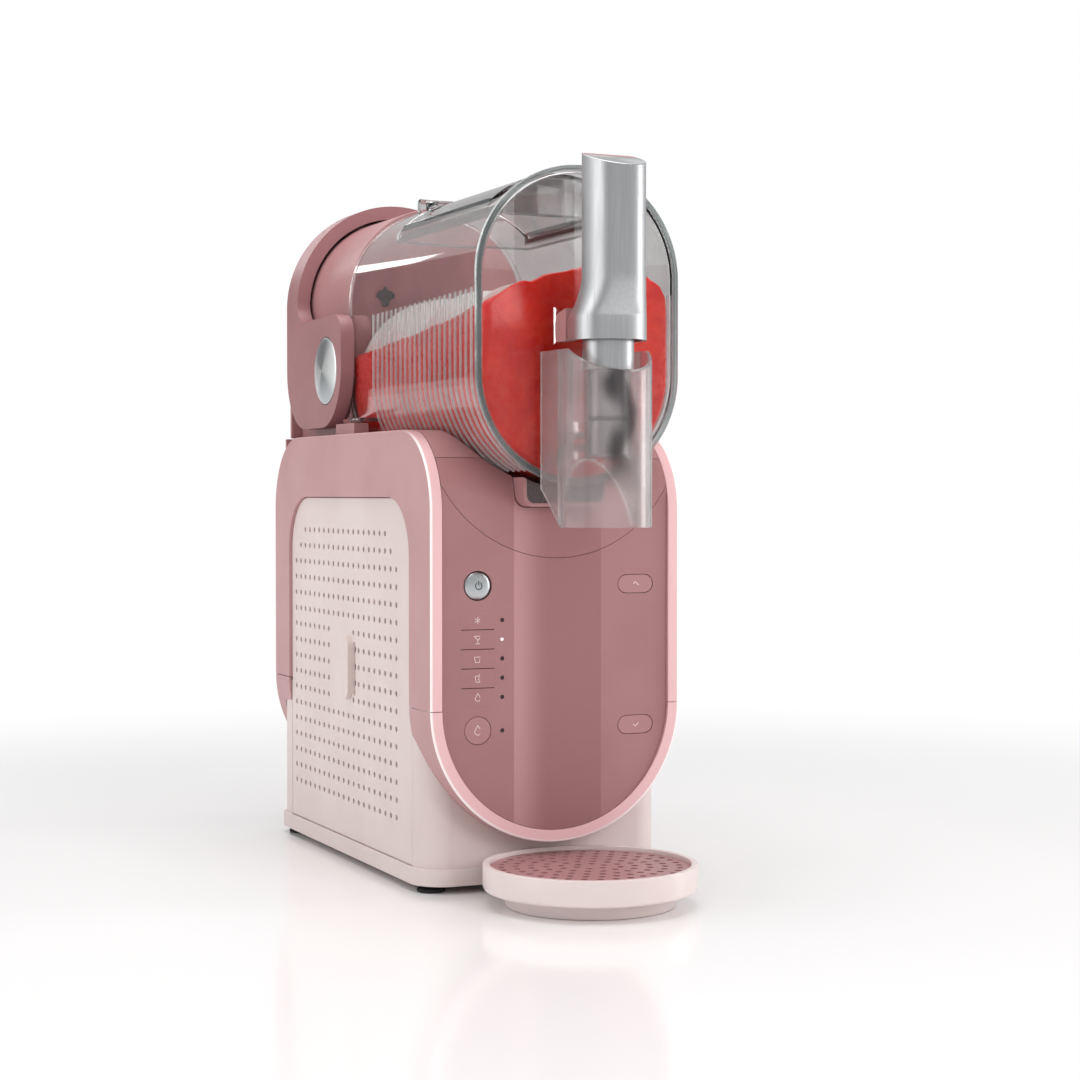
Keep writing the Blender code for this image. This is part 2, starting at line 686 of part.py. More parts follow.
def grip_section(z, n=14):
    f, h = grip_flare(z), grip_half(z)
    mid, deep = TAP_Y - 4 + 4 * f, 24.9 - 2 * f
    pts = [(h * math.cos(math.radians(a)), mid + deep * math.sin(math.radians(a)))
           for a in [180 + 180 * i / n for i in range(n + 1)]]
    pts += [(h, grip_back(z)), (-h, grip_back(z))]
    return [(x, y, z) for x, y in pts]


def slanted_top(name):
    """Everything above the sloping end of the grip."""
    return prism(name, [(-230, 417.2), (-120, 452), (-120, 520), (-230, 520)], "X", -60,
                 60)


GRIP_LEVELS = [330, 343, 346, 349, 352, 356, 360, 364, 368, 445]


def handle_shell():
    body = loft("tap_handle_shell", [grip_section(z) for z in GRIP_LEVELS])
    cut(body, rod("skirt", "Z", 0, TAP_Y, 19.5, 320, 346, 32),
        rod("throat", "Z", 0, TAP_Y, 17.2, 340, 356, 28), slanted_top("top"))
    return done(body, "brushed", (0, TAP_PIVOT_Y, TAP_PIVOT_Z))


def handle_back():
    rings = []
    for z in GRIP_LEVELS:
        h, y0 = grip_half(z) - 1.4, grip_back(z) + 0.3
        rings.append([(-h, y0, z), (h, y0, z), (h, y0 + 3.0, z), (h - 3, y0 + 5.0, z),
                      (3 - h, y0 + 5.0, z), (-h, y0 + 3.0, z)])
    body = loft("tap_handle_back", rings)
    for s in (-1, 1):
        x0, x1 = sorted((s * 17.2, s * 22.0))
        lug = fillet([(-157, 330, 0), (-143, 330, 4), (-142.5, 341, 5), (-145, 346.5, 4),
                      (-157, 349, 0)], 5)
        join(body, prism("lug", lug, "X", x0, x1))
    cut(body, rod("throat", "Z", 0, TAP_Y, 17.2, 320, 356, 28),
        box("gap", -17, 17, -175, -130, 320, 356), slanted_top("top"))
    for s in (-1, 1):
        cut(body, rod("pin", "X", TAP_PIVOT_Y, TAP_PIVOT_Z, 2.7,
                      *sorted((s * 15, s * 20.8)), 14))
    return done(body, "rose", (0, TAP_PIVOT_Y, TAP_PIVOT_Z))


def handle_pin():
    return done(rod("tap_hinge_pin", "X", TAP_PIVOT_Y, TAP_PIVOT_Z, 2.4, -20.4, 20.4, 14),
                "steel")


def plunger():
    profile = [(0, 263.5), (10.4, 263.5), (11.2, 264.6), (11.2, 283.5), (9.9, 283.5),
               (9.9, 286.5), (11.2, 286.5), (11.2, 313.0), (14.9, 313.6), (14.9, 332),
               (13.9, 333), (0, 333)]
    done(lathe("tap_plunger", profile, "Z", 0, TAP_Y, 32), "brushed", (0, TAP_Y, 300))
    seal = [(10.1, 283.8), (11.0, 283.8), (11.35, 284.5), (11.35, 285.5), (11.0, 286.2),
            (10.1, 286.2)]
    done(lathe("plunger_seal", seal, "Z", 0, TAP_Y, 20), "rubber", (0, TAP_Y, 300))


def dispense_shroud():
    """Clear splash guard around the spout; it pulls down and off."""
    plan = arc(0, SHROUD_Y, SHROUD_R, 180, 360, 24) + [(SHROUD_R, -132.2),
                                                       (-SHROUD_R, -132.2)]
    wall = SHROUD_R - 2
    body = prism("dispense_shroud", plan, "Z", 222.5, 325)
    behind = box("behind", -wall, wall, SHROUD_Y, -120, 200, 340)
    cut(behind, rod("tube", "Z", 0, SHROUD_Y, SHROUD_R, 190, 350, 40))
    arch = [(23.5 * math.cos(a), 215 + 47 * math.sin(a))
            for a in [math.pi * i / 20 for i in range(21)]]
    cut(body, rod("inside", "Z", 0, SHROUD_Y, wall, 200, 340, 40), behind,
        prism("slant", [(-165, 326), (-220, 295.1), (-220, 340), (-165, 340)], "X", -40, 40),
        prism("heel", [(-131, 246), (-160, 222), (-160, 210), (-120, 210), (-120, 246)],
              "X", -40, 40),
        prism("back_arch", arch, "Y", SHROUD_Y + 1, -120),
        box("spout_slot", -10.6, 10.6, -150, -120, 240, 340))
    return done(body, "smoke", (0, SHROUD_Y, 300))


# ---------------------------------------------------------------- machine room


def chassis_plate():
    plate = fillet([(-72, -70, 10), (72, -70, 10), (72, 190, 8), (-72, 190, 8)], 4)
    return done(prism("chassis_plate", plate, "Z", 9.4, 11.2), "steel")


def compressor():
    can = [(0, 20), (38, 20), (44, 25), (46, 60), (44, 104), (34, 120), (14, 126),
           (0, 127)]
    body = lathe("compressor", can, "Z", 16, 132, 32)
    join(body, box("foot", -26, 58, 96, 168, 11.6, 22))
    join(body, rod("stub", "Z", 40, 132, 4, 110, 126, 12))
    return done(body, "black")


def condenser():
    """Finned block just inside the left vent."""
    body = box("condenser", -74.6, -50, -44, 76, 28, 176)
    for k in range(11):
        y = -38 + 10 * k
        cut(body, box("gap", -80, -55, y, y + 6, 36, 168))
    return done(body, "alloy")


FAN_Y, FAN_Z = 16.0, 100.0


def fan():
    frame = prism("fan_frame", fillet([(-44, 40, 6), (76, 40, 6), (76, 160, 6),
                                       (-44, 160, 6)], 4), "X", -49.4, -24)
    cut(frame, rod("bore", "X", FAN_Y, FAN_Z, 54, -60, -28, 40),
        rod("outlet", "X", FAN_Y, FAN_Z, 50, -40, -10, 40))
    for a in (45, 135, 225, 315):
        c, s = math.cos(math.radians(a)), math.sin(math.radians(a))
        y, z = FAN_Y + 34 * c, FAN_Z + 34 * s
        arm = box("arm", -27, -24, -22, 22, -3, 3)
        arm.data.transform(Matrix.Translation((0, y * MM, z * MM))
                           @ Matrix.Rotation(math.radians(a), 4, "X"))
        join(frame, arm)
    join(frame, rod("hub", "X", FAN_Y, FAN_Z, 17, -27, -24, 24))
    done(frame, "black")
    done(rod("fan_motor", "X", FAN_Y, FAN_Z, 14, -38, -27.3, 24), "steel")
    body = rod("fan_blades", "X", FAN_Y, FAN_Z, 16, -47, -38.6, 24)
    for k in range(7):
        blade = box("blade", -0.8, 0.8, 15.2, 51, -8, 8)
        turn = (Matrix.Rotation(2 * math.pi * k / 7, 4, "X")
                @ Matrix.Rotation(math.radians(30), 4, "Y"))
        blade.data.transform(Matrix.Translation((-0.0427, FAN_Y * MM, FAN_Z * MM)) @ turn)
        join(body, blade)
    done(body, "black", (-42.7, FAN_Y, FAN_Z))


def boards():
    board = box("control_board", -66, 66, -89.8, -88.2, 88, 198)
    for x, z in ((-52, 186.8), (-52, 143), (-52, 100), (53, 186), (53, 99)):
        join(board, box("switch", x - 3.5, x + 3.5, -90.6, -89, z - 3.5, z + 3.5))
    join(board, box("chip", -10, 12, -88.6, -86, 130, 152),
         box("socket", 20, 44, -88.6, -80, 100, 110))
    done(board, "board")
    board = box("power_board", 68, 70, -52, 60, 40, 150)
    join(board, box("coil", 48, 69, -40, -14, 56, 86), box("sink", 44, 69, 0, 44, 60, 100))
    for y in (-30, -10, 10):
        join(board, rod("can", "X", y, 124, 8, 48, 69, 16))
    done(board, "board")


def refrigerant_line():
    path = [(40, 132, 126.6), (40, 132, 165), (40, 128, 200), (40, 121, 240),
            (38, 118, 270), (35, 117, 294), (29, 114, 308), (24, 109, 313),
            (22, 101, 313), (22, 60, 313), (22, -56, 313)]
    return done(pipe("refrigerant_line", path, 3.2, 10), "copper")


def rear_cover():
    """Back wall between the cheeks, slotted for the warm air."""
    low = arc(0, SKIRT_Z, INNER, 360, 180, 28)
    body = prism("rear_cover", low + [(-INNER, 281), (INNER, 281)], "Y", 205.0, 207.6)
    for k in range(9):
        z = 128 + 12 * k
        slot = pill(0, z, 46, 2.5, 4)
        cut(body, prism("slot", slot, "Y", 200, 212))
    cut(body, prism("inlet", pill(0, 72, 17, 11, 8), "Y", 200, 212))
    return done(body, "rose")


def mains_gland():
    body = prism("mains_gland", pill(0, 72, 16.7, 10.7, 8), "Y", 203.2, 207.4)
    join(body, prism("lip", pill(0, 72, 20, 14, 8), "Y", 201.2, 204.6))
    cut(body, rod("hole", "Y", 0, 72, 4, 190, 212, 16))
    return done(body, "rubber")


# ---------------------------------------------------------------- drip tray


def drip_tray():
    y = TRAY_Y
    profile = [(0, 0.0), (50, 0.0), (52.2, 6.6), (61.5, 9.2), (TRAY_R, 11.4),
               (TRAY_R, 24.0), (TRAY_R - 0.8, TRAY_TOP), (59.6, TRAY_TOP),
               (59.6, 19.4), (57.2, 19.4), (57.2, 12.4), (47, 4), (0, 4)]
    return done(lathe("drip_tray", profile, "Z", 0, y, 56), "cream")


def drip_cover():
    """Perforated cover of the tray; a ring of slots shows the pattern."""
    body = rod("drip_cover", "Z", 0, TRAY_Y, 59.2, 19.8, 22.4, 56)
    for k in range(12):
        a = math.radians(30 * k)
        slot = prism("slot", pill(0, 0, 8, 2.2, 3), "Z", 10, 30)
        slot.data.transform(Matrix.Translation((0, TRAY_Y * MM, 0))
                            @ Matrix.Rotation(a, 4, "Z")
                            @ Matrix.Translation((0.040, 0, 0)))
        cut(body, slot)
    return done(body, "deep_rose", (0, TRAY_Y, 20))


def build():
    for obj in list(bpy.data.objects):
        bpy.data.objects.remove(obj)
    base_tub()
    feet()
    skirt("front_skirt", FRONT, -63.0)
    skirt("rear_skirt", 175.8, BACK)
    side_cover("side_cover_left", -1)
    side_cover("side_cover_right", 1)
    vent_panel("vent_panel_left", -1)
    vent_panel("vent_panel_right", 1)
    front_panel()
    light_guide()
    preset_keys()
    round_buttons()
    front_apron()
    top_cover()
    condensation_catch()
    tower_housing()
    tower_back()
    bail_handle()
    pivots()
    evaporator_drum()
    drive_shaft()
    drum_gasket()
    auger()
    gearbox()
    auger_motor()
    bowl()
    fill_lid()
    handle_shell()
    handle_back()
    handle_pin()
    plunger()
    dispense_shroud()
    chassis_plate()
    compressor()
    condenser()
    fan()
    boards()
    refrigerant_line()
    rear_cover()
    mains_gland()
    drip_tray()
    drip_cover()
    bpy.context.view_layer.update()


build()
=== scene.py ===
# Countertop frozen-drink maker, dressed for a product shot.
import math

import bmesh
import bpy
from mathutils import Matrix, Vector, noise


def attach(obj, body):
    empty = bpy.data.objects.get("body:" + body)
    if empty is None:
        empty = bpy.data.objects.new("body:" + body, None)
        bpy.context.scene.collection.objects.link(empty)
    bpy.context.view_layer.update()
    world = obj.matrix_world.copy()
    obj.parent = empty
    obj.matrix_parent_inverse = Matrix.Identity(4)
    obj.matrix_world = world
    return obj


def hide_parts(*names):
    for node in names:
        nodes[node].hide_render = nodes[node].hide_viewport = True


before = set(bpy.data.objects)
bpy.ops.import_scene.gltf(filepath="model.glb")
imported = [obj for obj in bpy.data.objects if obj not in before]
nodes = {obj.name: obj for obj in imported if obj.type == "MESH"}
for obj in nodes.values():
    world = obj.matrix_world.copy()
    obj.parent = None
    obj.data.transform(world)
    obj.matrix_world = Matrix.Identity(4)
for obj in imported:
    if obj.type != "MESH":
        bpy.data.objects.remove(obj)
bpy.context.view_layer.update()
mm = 0.001
axisZ = 313.0  # height of the bowl and auger axis, in millimetres
print("frame loaded,", len(nodes), "nodes")


# camera, light and floor

shot = {"lens": 72.0, "spot": (-0.5483, -1.2891, 0.2425), "down": 1.254, "turn": -24.256}
studio = {
    "floorColour": "F2F1F1", "floorRough": 0.13, "fadeFrom": 0.36, "fadeTo": 1.12,
    "roomLight": 0.62, "roomSeen": 1.0,
    "softboxes": {  # spot, aimed at, width, height, watts
        "leftWall": ((-1.6, 0.15, 0.85), (0, 0, 0.25), 1.0, 1.1, 6.0),
        "frontFill": ((0.45, -1.9, 1.0), (0, 0, 0.2), 0.8, 0.9, 10.0),
        "topSheet": ((-0.1, 0.0, 1.5), (0, 0, 0.2), 1.2, 1.2, 13.0),
        "rightStrip": ((1.3, -0.35, 0.45), (0, 0, 0.28), 0.4, 1.1, 6.0),
        "backStrip": ((-0.1, 1.9, 0.95), (0, 0, 0.35), 1.0, 0.07, 0.9),
    },
    "flags": {  # dark cards that give clear plastic and metal their lines
        "leftFlag": ((-1.5, -0.62, 0.45), 0.42, 1.3), "backFlag": ((-0.55, 1.6, 0.6), 0.5, 0.5),
        "farFlag": ((1.4, 0.9, 0.5), 0.25, 1.1),
    },
}


def srgb(code):
    parts = [int(code[i:i + 2], 16) / 255 for i in (0, 2, 4)]
    return tuple(c / 12.92 if c <= 0.04045 else ((c + 0.055) / 1.055) ** 2.4
                 for c in parts) + (1.0,)


def fill(node, values):  # a node or a socket given as a value is linked, anything else is set
    for key, value in values.items():
        source = value.outputs[0] if isinstance(value, bpy.types.Node) else value
        if isinstance(source, bpy.types.NodeSocket):
            node.id_data.links.new(source, node.inputs[key])
        elif isinstance(key, str) and hasattr(node, key):
            setattr(node, key, value)
        else:
            node.inputs[key].default_value = srgb(value) if isinstance(value, str) else value
    return node


def put(tree, kind, values=None):
    return fill(tree.nodes.new(kind), values or {})


def newMaterial(name):
    mat = bpy.data.materials.new(name)
    mat.use_nodes = True
    return mat, mat.node_tree, mat.node_tree.nodes["Principled BSDF"]


def linked(name, data):
    thing = bpy.data.objects.new(name, data)
    bpy.context.scene.collection.objects.link(thing)
    return thing


def setCamera():
    data = bpy.data.cameras.new("productCamera")
    data.lens, data.sensor_width = shot["lens"], 36.0
    data.clip_start, data.clip_end = 0.05, 50
    eye = linked("productCamera", data)
    eye.location = shot["spot"]
    eye.rotation_euler = (math.radians(90 - shot["down"]), 0, math.radians(shot["turn"]))
    bpy.context.scene.camera = eye


def setStudio():
    world = bpy.data.worlds.new("softRoom")
    world.use_nodes = True
    tree = world.node_tree
    seen = put(tree, "ShaderNodeLightPath").outputs["Is Camera Ray"]
    power = put(tree, "ShaderNodeMapRange", {"Value": seen, "To Min": studio["roomLight"],
                                             "To Max": studio["roomSeen"]})
    fill(tree.nodes["Background"], {"Color": "FFFFFF", "Strength": power})
    bpy.context.scene.world = world
    bpy.context.scene.view_settings.view_transform = "Standard"
    for name, (spot, aim, wide, high, watts) in studio["softboxes"].items():
        data = bpy.data.lights.new(name, "AREA")
        data.shape, data.size, data.size_y, data.energy = "RECTANGLE", wide, high, watts
        lamp = linked(name, data)
        lamp.location = spot
        lamp.rotation_euler = (Vector(aim) - Vector(spot)).to_track_quat("-Z", "Y").to_euler()
        lamp.visible_camera = False
        lamp.visible_glossy = name != "frontFill"  # keeps the clear front window free of a glare
    black, _, shader = newMaterial("blackFlagCloth")  # seen only as dark lines in clear and metal
    fill(shader, {"Base Color": "1A1A1A"})
    for name, (spot, wide, high) in studio["flags"].items():
        x, y, z = spot
        side = Vector((-y, x, 0)).normalized() * wide / 2
        mesh = bpy.data.meshes.new(name)
        low, up = Vector((x, y, z - high / 2)), Vector((x, y, z + high / 2))
        mesh.from_pydata([low - side, low + side, up + side, up - side], [], [(0, 1, 2, 3)])
        mesh.materials.append(black)
        flag = linked(name, mesh)
        flag.visible_camera = flag.visible_diffuse = flag.visible_shadow = False
    mesh = bpy.data.meshes.new("floorSheet")
    mesh.from_pydata([(-9, -9, 0), (9, -9, 0), (9, 9, 0), (-9, 9, 0)], [], [(0, 1, 2, 3)])
    floor = linked("floorSheet", mesh)
    mat, tree, shader = newMaterial("glossyWhiteAcrylicSheet")  # soft mirror, melts into the room
    fill(shader, {"Base Color": studio["floorColour"], "Roughness": studio["floorRough"]})
    place = put(tree, "ShaderNodeTexCoord").outputs["Object"]
    away = put(tree, "ShaderNodeVectorMath", {"operation": "LENGTH", 0: place}).outputs["Value"]
    fade = put(tree, "ShaderNodeMapRange", {"interpolation_type": "SMOOTHSTEP", "Value": away,
                                            "From Min": studio["fadeFrom"],
                                            "From Max": studio["fadeTo"]})
    glow = put(tree, "ShaderNodeEmission", {"Strength": 1.0})
    both = put(tree, "ShaderNodeMixShader", {0: fade, 1: shader, 2: glow})
    fill(tree.nodes["Material Output"], {"Surface": both})
    mesh.materials.append(mat)


setCamera()
setStudio()
print("camera and studio set")


# shape helpers, all sizes in millimetres

def arcPoints(cx, cy, radius, start, end, count):
    turns = [math.radians(start + (end - start) * i / count) for i in range(count + 1)]
    return [(cx + radius * math.cos(a), cy + radius * math.sin(a)) for a in turns]


def roundCorners(corners, steps=10):
    out = []
    for i, (x, y, radius) in enumerate(corners):
        if radius <= 0:
            out.append((x, y))
            continue
        before, after = corners[i - 1], corners[(i + 1) % len(corners)]
        here = Vector((x, y))
        u = (Vector(before[:2]) - here).normalized()
        v = (Vector(after[:2]) - here).normalized()
        half = u.angle(v) / 2
        middle = here + (u + v).normalized() * (radius / math.sin(half))
        first = here + u * (radius / math.tan(half)) - middle
        last = here + v * (radius / math.tan(half)) - middle
        sweep = first.angle(last) * (1 if first.x * last.y - first.y * last.x > 0 else -1)
        for k in range(steps + 1):
            a = sweep * k / steps
            out.append((middle.x + first.x * math.cos(a) - first.y * math.sin(a),
                        middle.y + first.x * math.sin(a) + first.y * math.cos(a)))
    return out


def stadium(half, low, up, steps=40):
    return arcPoints(0, low, half, 180, 360, steps) + arcPoints(0, up, half, 0, 180, steps)


def pill(cx, cz, half, radius, steps=10):
    return (arcPoints(cx + half - radius, cz, radius, -90, 90, steps)
            + arcPoints(cx - half + radius, cz, radius, 90, 270, steps))


def newPiece(name, bm):
    bmesh.ops.remove_doubles(bm, verts=bm.verts, dist=1e-7)
    bmesh.ops.recalc_face_normals(bm, faces=bm.faces)
    mesh = bpy.data.meshes.new(name)
    bm.to_mesh(mesh)
    bm.free()
    return linked(name, mesh)


def spotOn(axis, a, b, t):
    return Vector({"X": (t, a, b), "Y": (a, t, b), "Z": (a, b, t)}[axis]) * mm


def pushed(name, outline, axis, low, high):  # outline pushed along an axis
    bm = bmesh.new()
    ends = [[bm.verts.new(spotOn(axis, a, b, t)) for a, b in outline] for t in (low, high)]
    count = len(outline)
    for i in range(count):
        j = (i + 1) % count
        bm.faces.new((ends[0][i], ends[0][j], ends[1][j], ends[1][i]))
    bm.faces.new(ends[0])
    bm.faces.new(ends[1])
    return newPiece(name, bm)


def block(name, x0, x1, y0, y1, z0, z1):
    return pushed(name, [(x0, y0), (x1, y0), (x1, y1), (x0, y1)], "Z", z0, z1)


def bar(name, axis, a, b, radius, low, high, steps=48):
    return pushed(name, arcPoints(a, b, radius, 0, 360, steps)[:-1], axis, low, high)


def turned(name, profile, axis, a, b, steps=72):  # closed profile of radius and height
    bm = bmesh.new()
    rings = []
    for radius, t in profile:
        if radius == 0:
            rings.append([bm.verts.new(spotOn(axis, a, b, t))] * steps)
        else:
            rings.append([bm.verts.new(spotOn(axis, a + radius * math.cos(2 * math.pi * k / steps),
                                              b + radius * math.sin(2 * math.pi * k / steps), t))
                          for k in range(steps)])
    for i in range(len(rings)):
        one, two = rings[i], rings[(i + 1) % len(rings)]
        for k in range(steps):
            m = (k + 1) % steps
            corners = []
            for v in (one[k], one[m], two[m], two[k]):
                if v not in corners:
                    corners.append(v)
            if len(corners) > 2:
                bm.faces.new(corners)
    return newPiece(name, bm)


def skinned(name, sections):  # equal rings of points joined into one closed skin
    bm = bmesh.new()
    rings = [[bm.verts.new(Vector(p) * mm) for p in section] for section in sections]
    count = len(rings[0])
    for one, two in zip(rings, rings[1:]):
        for i in range(count):
            j = (i + 1) % count
            bm.faces.new((one[i], one[j], two[j], two[i]))
    bm.faces.new(rings[0])
    bm.faces.new(rings[-1])
    return newPiece(name, bm)


def bake(piece):  # live modifiers become the plain mesh
    graph = bpy.context.evaluated_depsgraph_get()
    mesh = bpy.data.meshes.new_from_object(piece.evaluated_get(graph))
    piece.modifiers.clear()
    spent = piece.data
    piece.data = mesh
    bpy.data.meshes.remove(spent)
    mesh.name = piece.name
    return piece


def merged(piece, tool, how):
    step = piece.modifiers.new(how, "BOOLEAN")
    step.object, step.operation, step.solver = tool, how, "EXACT"
    bake(piece)
    spent = tool.data
    bpy.data.objects.remove(tool)
    bpy.data.meshes.remove(spent)
    return piece


def carve(piece, *tools):
    for tool in tools:
        merged(piece, tool, "DIFFERENCE")
    return piece


def fuse(piece, *tools):
    for tool in tools:
        merged(piece, tool, "UNION")
    return piece


def keepInside(piece, tool):
    return merged(piece, tool, "INTERSECT")


def soften(piece, width, steps=3, angle=30, where=None):  # rounds the picked sharp edges
    bm = bmesh.new()
    bm.from_mesh(piece.data)
    bmesh.ops.remove_doubles(bm, verts=bm.verts, dist=1e-6)
    bmesh.ops.dissolve_limit(bm, angle_limit=math.radians(0.3), verts=bm.verts, edges=bm.edges)
    picked = [e for e in bm.edges if len(e.link_faces) == 2
              and e.calc_face_angle(0) > math.radians(angle)
              and (where is None or where((e.verts[0].co + e.verts[1].co) / 2 / mm))]
    if picked:
        bmesh.ops.bevel(bm, geom=picked, offset=width * mm, offset_type="OFFSET", segments=steps,
                        profile=0.5, affect="EDGES", clamp_overlap=True)
    bm.to_mesh(piece.data)
    bm.free()
    return piece


def merge(parts, name):
    bm = bmesh.new()
    for part in parts:
        bm.from_mesh(part.data)
        spent = part.data
        bpy.data.objects.remove(part)
        bpy.data.meshes.remove(spent)
    mesh = bpy.data.meshes.new(name)
    bm.to_mesh(mesh)
    bm.free()
    return linked(name, mesh)


# stands: the CAD nodes that this piece takes the place of
def dress(piece, body, material, stands=(), smooth=50, weighted=True):
    piece.data.materials.clear()
    piece.data.materials.append(material)
    piece.data.shade_smooth()
    piece.data.set_sharp_from_angle(angle=math.radians(smooth))
    if weighted:
        step = piece.modifiers.new("faceWeights", "WEIGHTED_NORMAL")
        step.keep_sharp = True
        bake(piece)
    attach(piece, body)
    if stands:
        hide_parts(*stands)
    return piece


# a CAD node kept in shape, only its edges rounded
def refined(node, body, material, width=0.5, steps=2, angle=30, smooth=50):
    copy = linked(node + "_skin", nodes[node].data.copy())
    bm = bmesh.new()
    bm.from_mesh(copy.data)
    bmesh.ops.remove_doubles(bm, verts=bm.verts, dist=2e-6)
    bmesh.ops.recalc_face_normals(bm, faces=bm.faces)
    bm.to_mesh(copy.data)
    bm.free()
    if width:
        soften(copy, width, steps, angle)
    return dress(copy, body, material, (node,), smooth)


def coated(node, material):  # a CAD node that keeps its own mesh
    nodes[node].data.materials.clear()
    nodes[node].data.materials.append(material)


def newGeoTree(name, sizes):
    tree = bpy.data.node_groups.new(name, "GeometryNodeTree")
    tree.interface.new_socket("Geometry", in_out="INPUT", socket_type="NodeSocketGeometry")
    kinds = {int: "NodeSocketInt", float: "NodeSocketFloat", bpy.types.Material: "NodeSocketMaterial"}
    for label, value in sizes.items():
        socket = tree.interface.new_socket(label, in_out="INPUT", socket_type=kinds[type(value)])
        if not isinstance(value, bpy.types.Material):
            socket.default_value = value
    tree.interface.new_socket("Geometry", in_out="OUTPUT", socket_type="NodeSocketGeometry")
    return tree, put(tree, "NodeGroupInput").outputs, put(tree, "NodeGroupOutput")


def runTree(piece, tree, values):
    step = piece.modifiers.new(tree.name, "NODES")
    step.node_group = tree
    for item in tree.interface.items_tree:
        if item.in_out == "INPUT" and item.name in values:
            step[item.identifier] = values[item.name]
    return bake(piece)


def endTree(tree, last, sock, out):
    real = put(tree, "GeometryNodeRealizeInstances", {0: last})
    named = put(tree, "GeometryNodeSetMaterial", {"Geometry": real, "Material": sock["Material"]})
    fill(out, {0: named})
    return tree


# finishes

def tintShift(tree, pattern, low, high, one, two):  # a pattern carries one colour into another
    share = put(tree, "ShaderNodeMapRange", {"interpolation_type": "SMOOTHSTEP", "Value": pattern,
                                             "From Min": low, "From Max": high})
    return put(tree, "ShaderNodeMix", {"data_type": "RGBA", 0: share, 6: one, 7: two}).outputs[2]


def surface(shader, colour, rough, relief, more):
    wear, low, high, least, most = rough
    height, deepMm, strength = relief
    tree = shader.id_data
    worn = put(tree, "ShaderNodeMapRange", {"interpolation_type": "SMOOTHSTEP", "Value": wear,
                                            "From Min": low, "From Max": high,
                                            "To Min": least, "To Max": most})
    bump = put(tree, "ShaderNodeBump", {"Strength": strength, "Distance": deepMm * mm,
                                        "Height": height})
    fill(shader, {"Base Color": colour, "Roughness": worn, "Normal": bump, **more})


def mouldedPlastic(name, tints, rough=0.42, cloudMm=55, grainMm=0.9, relief=0.012, coat=0.0,
                   extra=None):
    mat, tree, shader = newMaterial(name)
    coords = put(tree, "ShaderNodeTexCoord").outputs["Object"]
    cloud = put(tree, "ShaderNodeTexNoise", {"Scale": 1 / (cloudMm * mm), "Detail": 3.0,
                                             "Vector": coords})
    grain = put(tree, "ShaderNodeTexNoise", {"Scale": 1 / (grainMm * mm), "Detail": 2.0,
                                             "Vector": coords})
    colour = tintShift(tree, cloud, 0.3, 0.7, *tints)
    if extra:
        colour = extra(tree, coords, colour)
    surface(shader, colour, (grain, 0.3, 0.7, rough - 0.04, rough + 0.05), (grain, relief, 0.5),
            {"IOR": 1.5, "Coat Weight": coat, "Coat Roughness": 0.18})
    return mat


def paintedRimHighlight(tree, coords, colour):  # painted highlight: the narrow rim face is painted paler, its outer round nearly white
    part = put(tree, "ShaderNodeSeparateXYZ", {"Vector": coords}).outputs
    low = put(tree, "ShaderNodeMath", {"operation": "SUBTRACT", 0: part["Z"], 1: 113 * mm})
    low = put(tree, "ShaderNodeMath", {"operation": "MINIMUM", 0: low, 1: 0.0})
    flat = put(tree, "ShaderNodeCombineXYZ", {"X": part["X"], "Y": low})
    reach = put(tree, "ShaderNodeVectorMath", {"operation": "LENGTH", 0: flat}).outputs["Value"]
    share = 1.0
    for source, start, end in ((reach, 82.90, 82.97), (part["Y"], -88, -52)):
        zone = put(tree, "ShaderNodeMapRange", {"interpolation_type": "SMOOTHSTEP",
                                                "Value": source, "From Min": start * mm,
                                                "From Max": end * mm, "To Min": 1.0, "To Max": 0.0})
        share = put(tree, "ShaderNodeMath", {"operation": "MULTIPLY", 0: zone, 1: share})
    # painted highlight: pale rim face and nearly white outer round, fading towards the back
    edge = tintShift(tree, reach, 81.2 * mm, 82.2 * mm, "EBBEC0", "FFF3F2")
    return put(tree, "ShaderNodeMix", {"data_type": "RGBA", 0: share, 6: colour,
                                       7: edge}).outputs[2]


def creaseShade(tree, coords, colour):  # flat middle column with painted light: brightest at its left crease as painted highlight, darker to the middle as painted shade
    across = put(tree, "ShaderNodeSeparateXYZ", {"Vector": coords}).outputs["X"]
    aside = put(tree, "ShaderNodeMath", {"operation": "ABSOLUTE", 0: across})
    middle = tintShift(tree, across, -29 * mm, -6 * mm, "B88889", "986869")
    return tintShift(tree, aside, 28.9 * mm, 29.2 * mm, middle, colour)


# painted ABS of the covers: even pink, soft sheen, with a painted highlight as a pale line where the rim
# turns to the light
roseCover = mouldedPlastic("satinRoseAbs", ("BE9293", "B88B8C"), 0.40, extra=paintedRimHighlight)
# the same paint on the tower, a darker copy as painted shade: a shade deeper and quieter behind the clear
# bowl
roseShadedCopy = mouldedPlastic("satinRoseAbsPaintedShade", ("AE7F80", "A87879"), 0.38)
# the same paint on the bail, a darker copy still as painted shade, with a slightly tighter highlight
roseBailShaded = mouldedPlastic("satinRoseAbsBailPaintedShade", ("A27274", "9A6B6D"), 0.36)
# front panel: dusky rose, with painted highlight at the column's left crease and painted shade towards the
# middle
rosePanel = mouldedPlastic("satinDeepRoseAbs", ("A67677", "A07071"), 0.36, extra=creaseShade)
# small moulded parts in plain deep rose, even and satin
rosePlain = mouldedPlastic("deepRoseAbs", ("AE7E7F", "A87879"), 0.36)
# unpainted ABS, spark eroded mould: warm pale cream, soft and nearly without a highlight
creamBase = mouldedPlastic("creamMouldedAbs", ("DDCECA", "D8C8C4"), 0.42)
# the tray from a smoother mould, with a thin gloss along its edge; its cream is painted lighter than the base
# as painted light
creamTrayLit = mouldedPlastic("creamGlossAbsPaintedLight", ("EADBD8", "E5D5D2"), 0.32, coat=0.2)
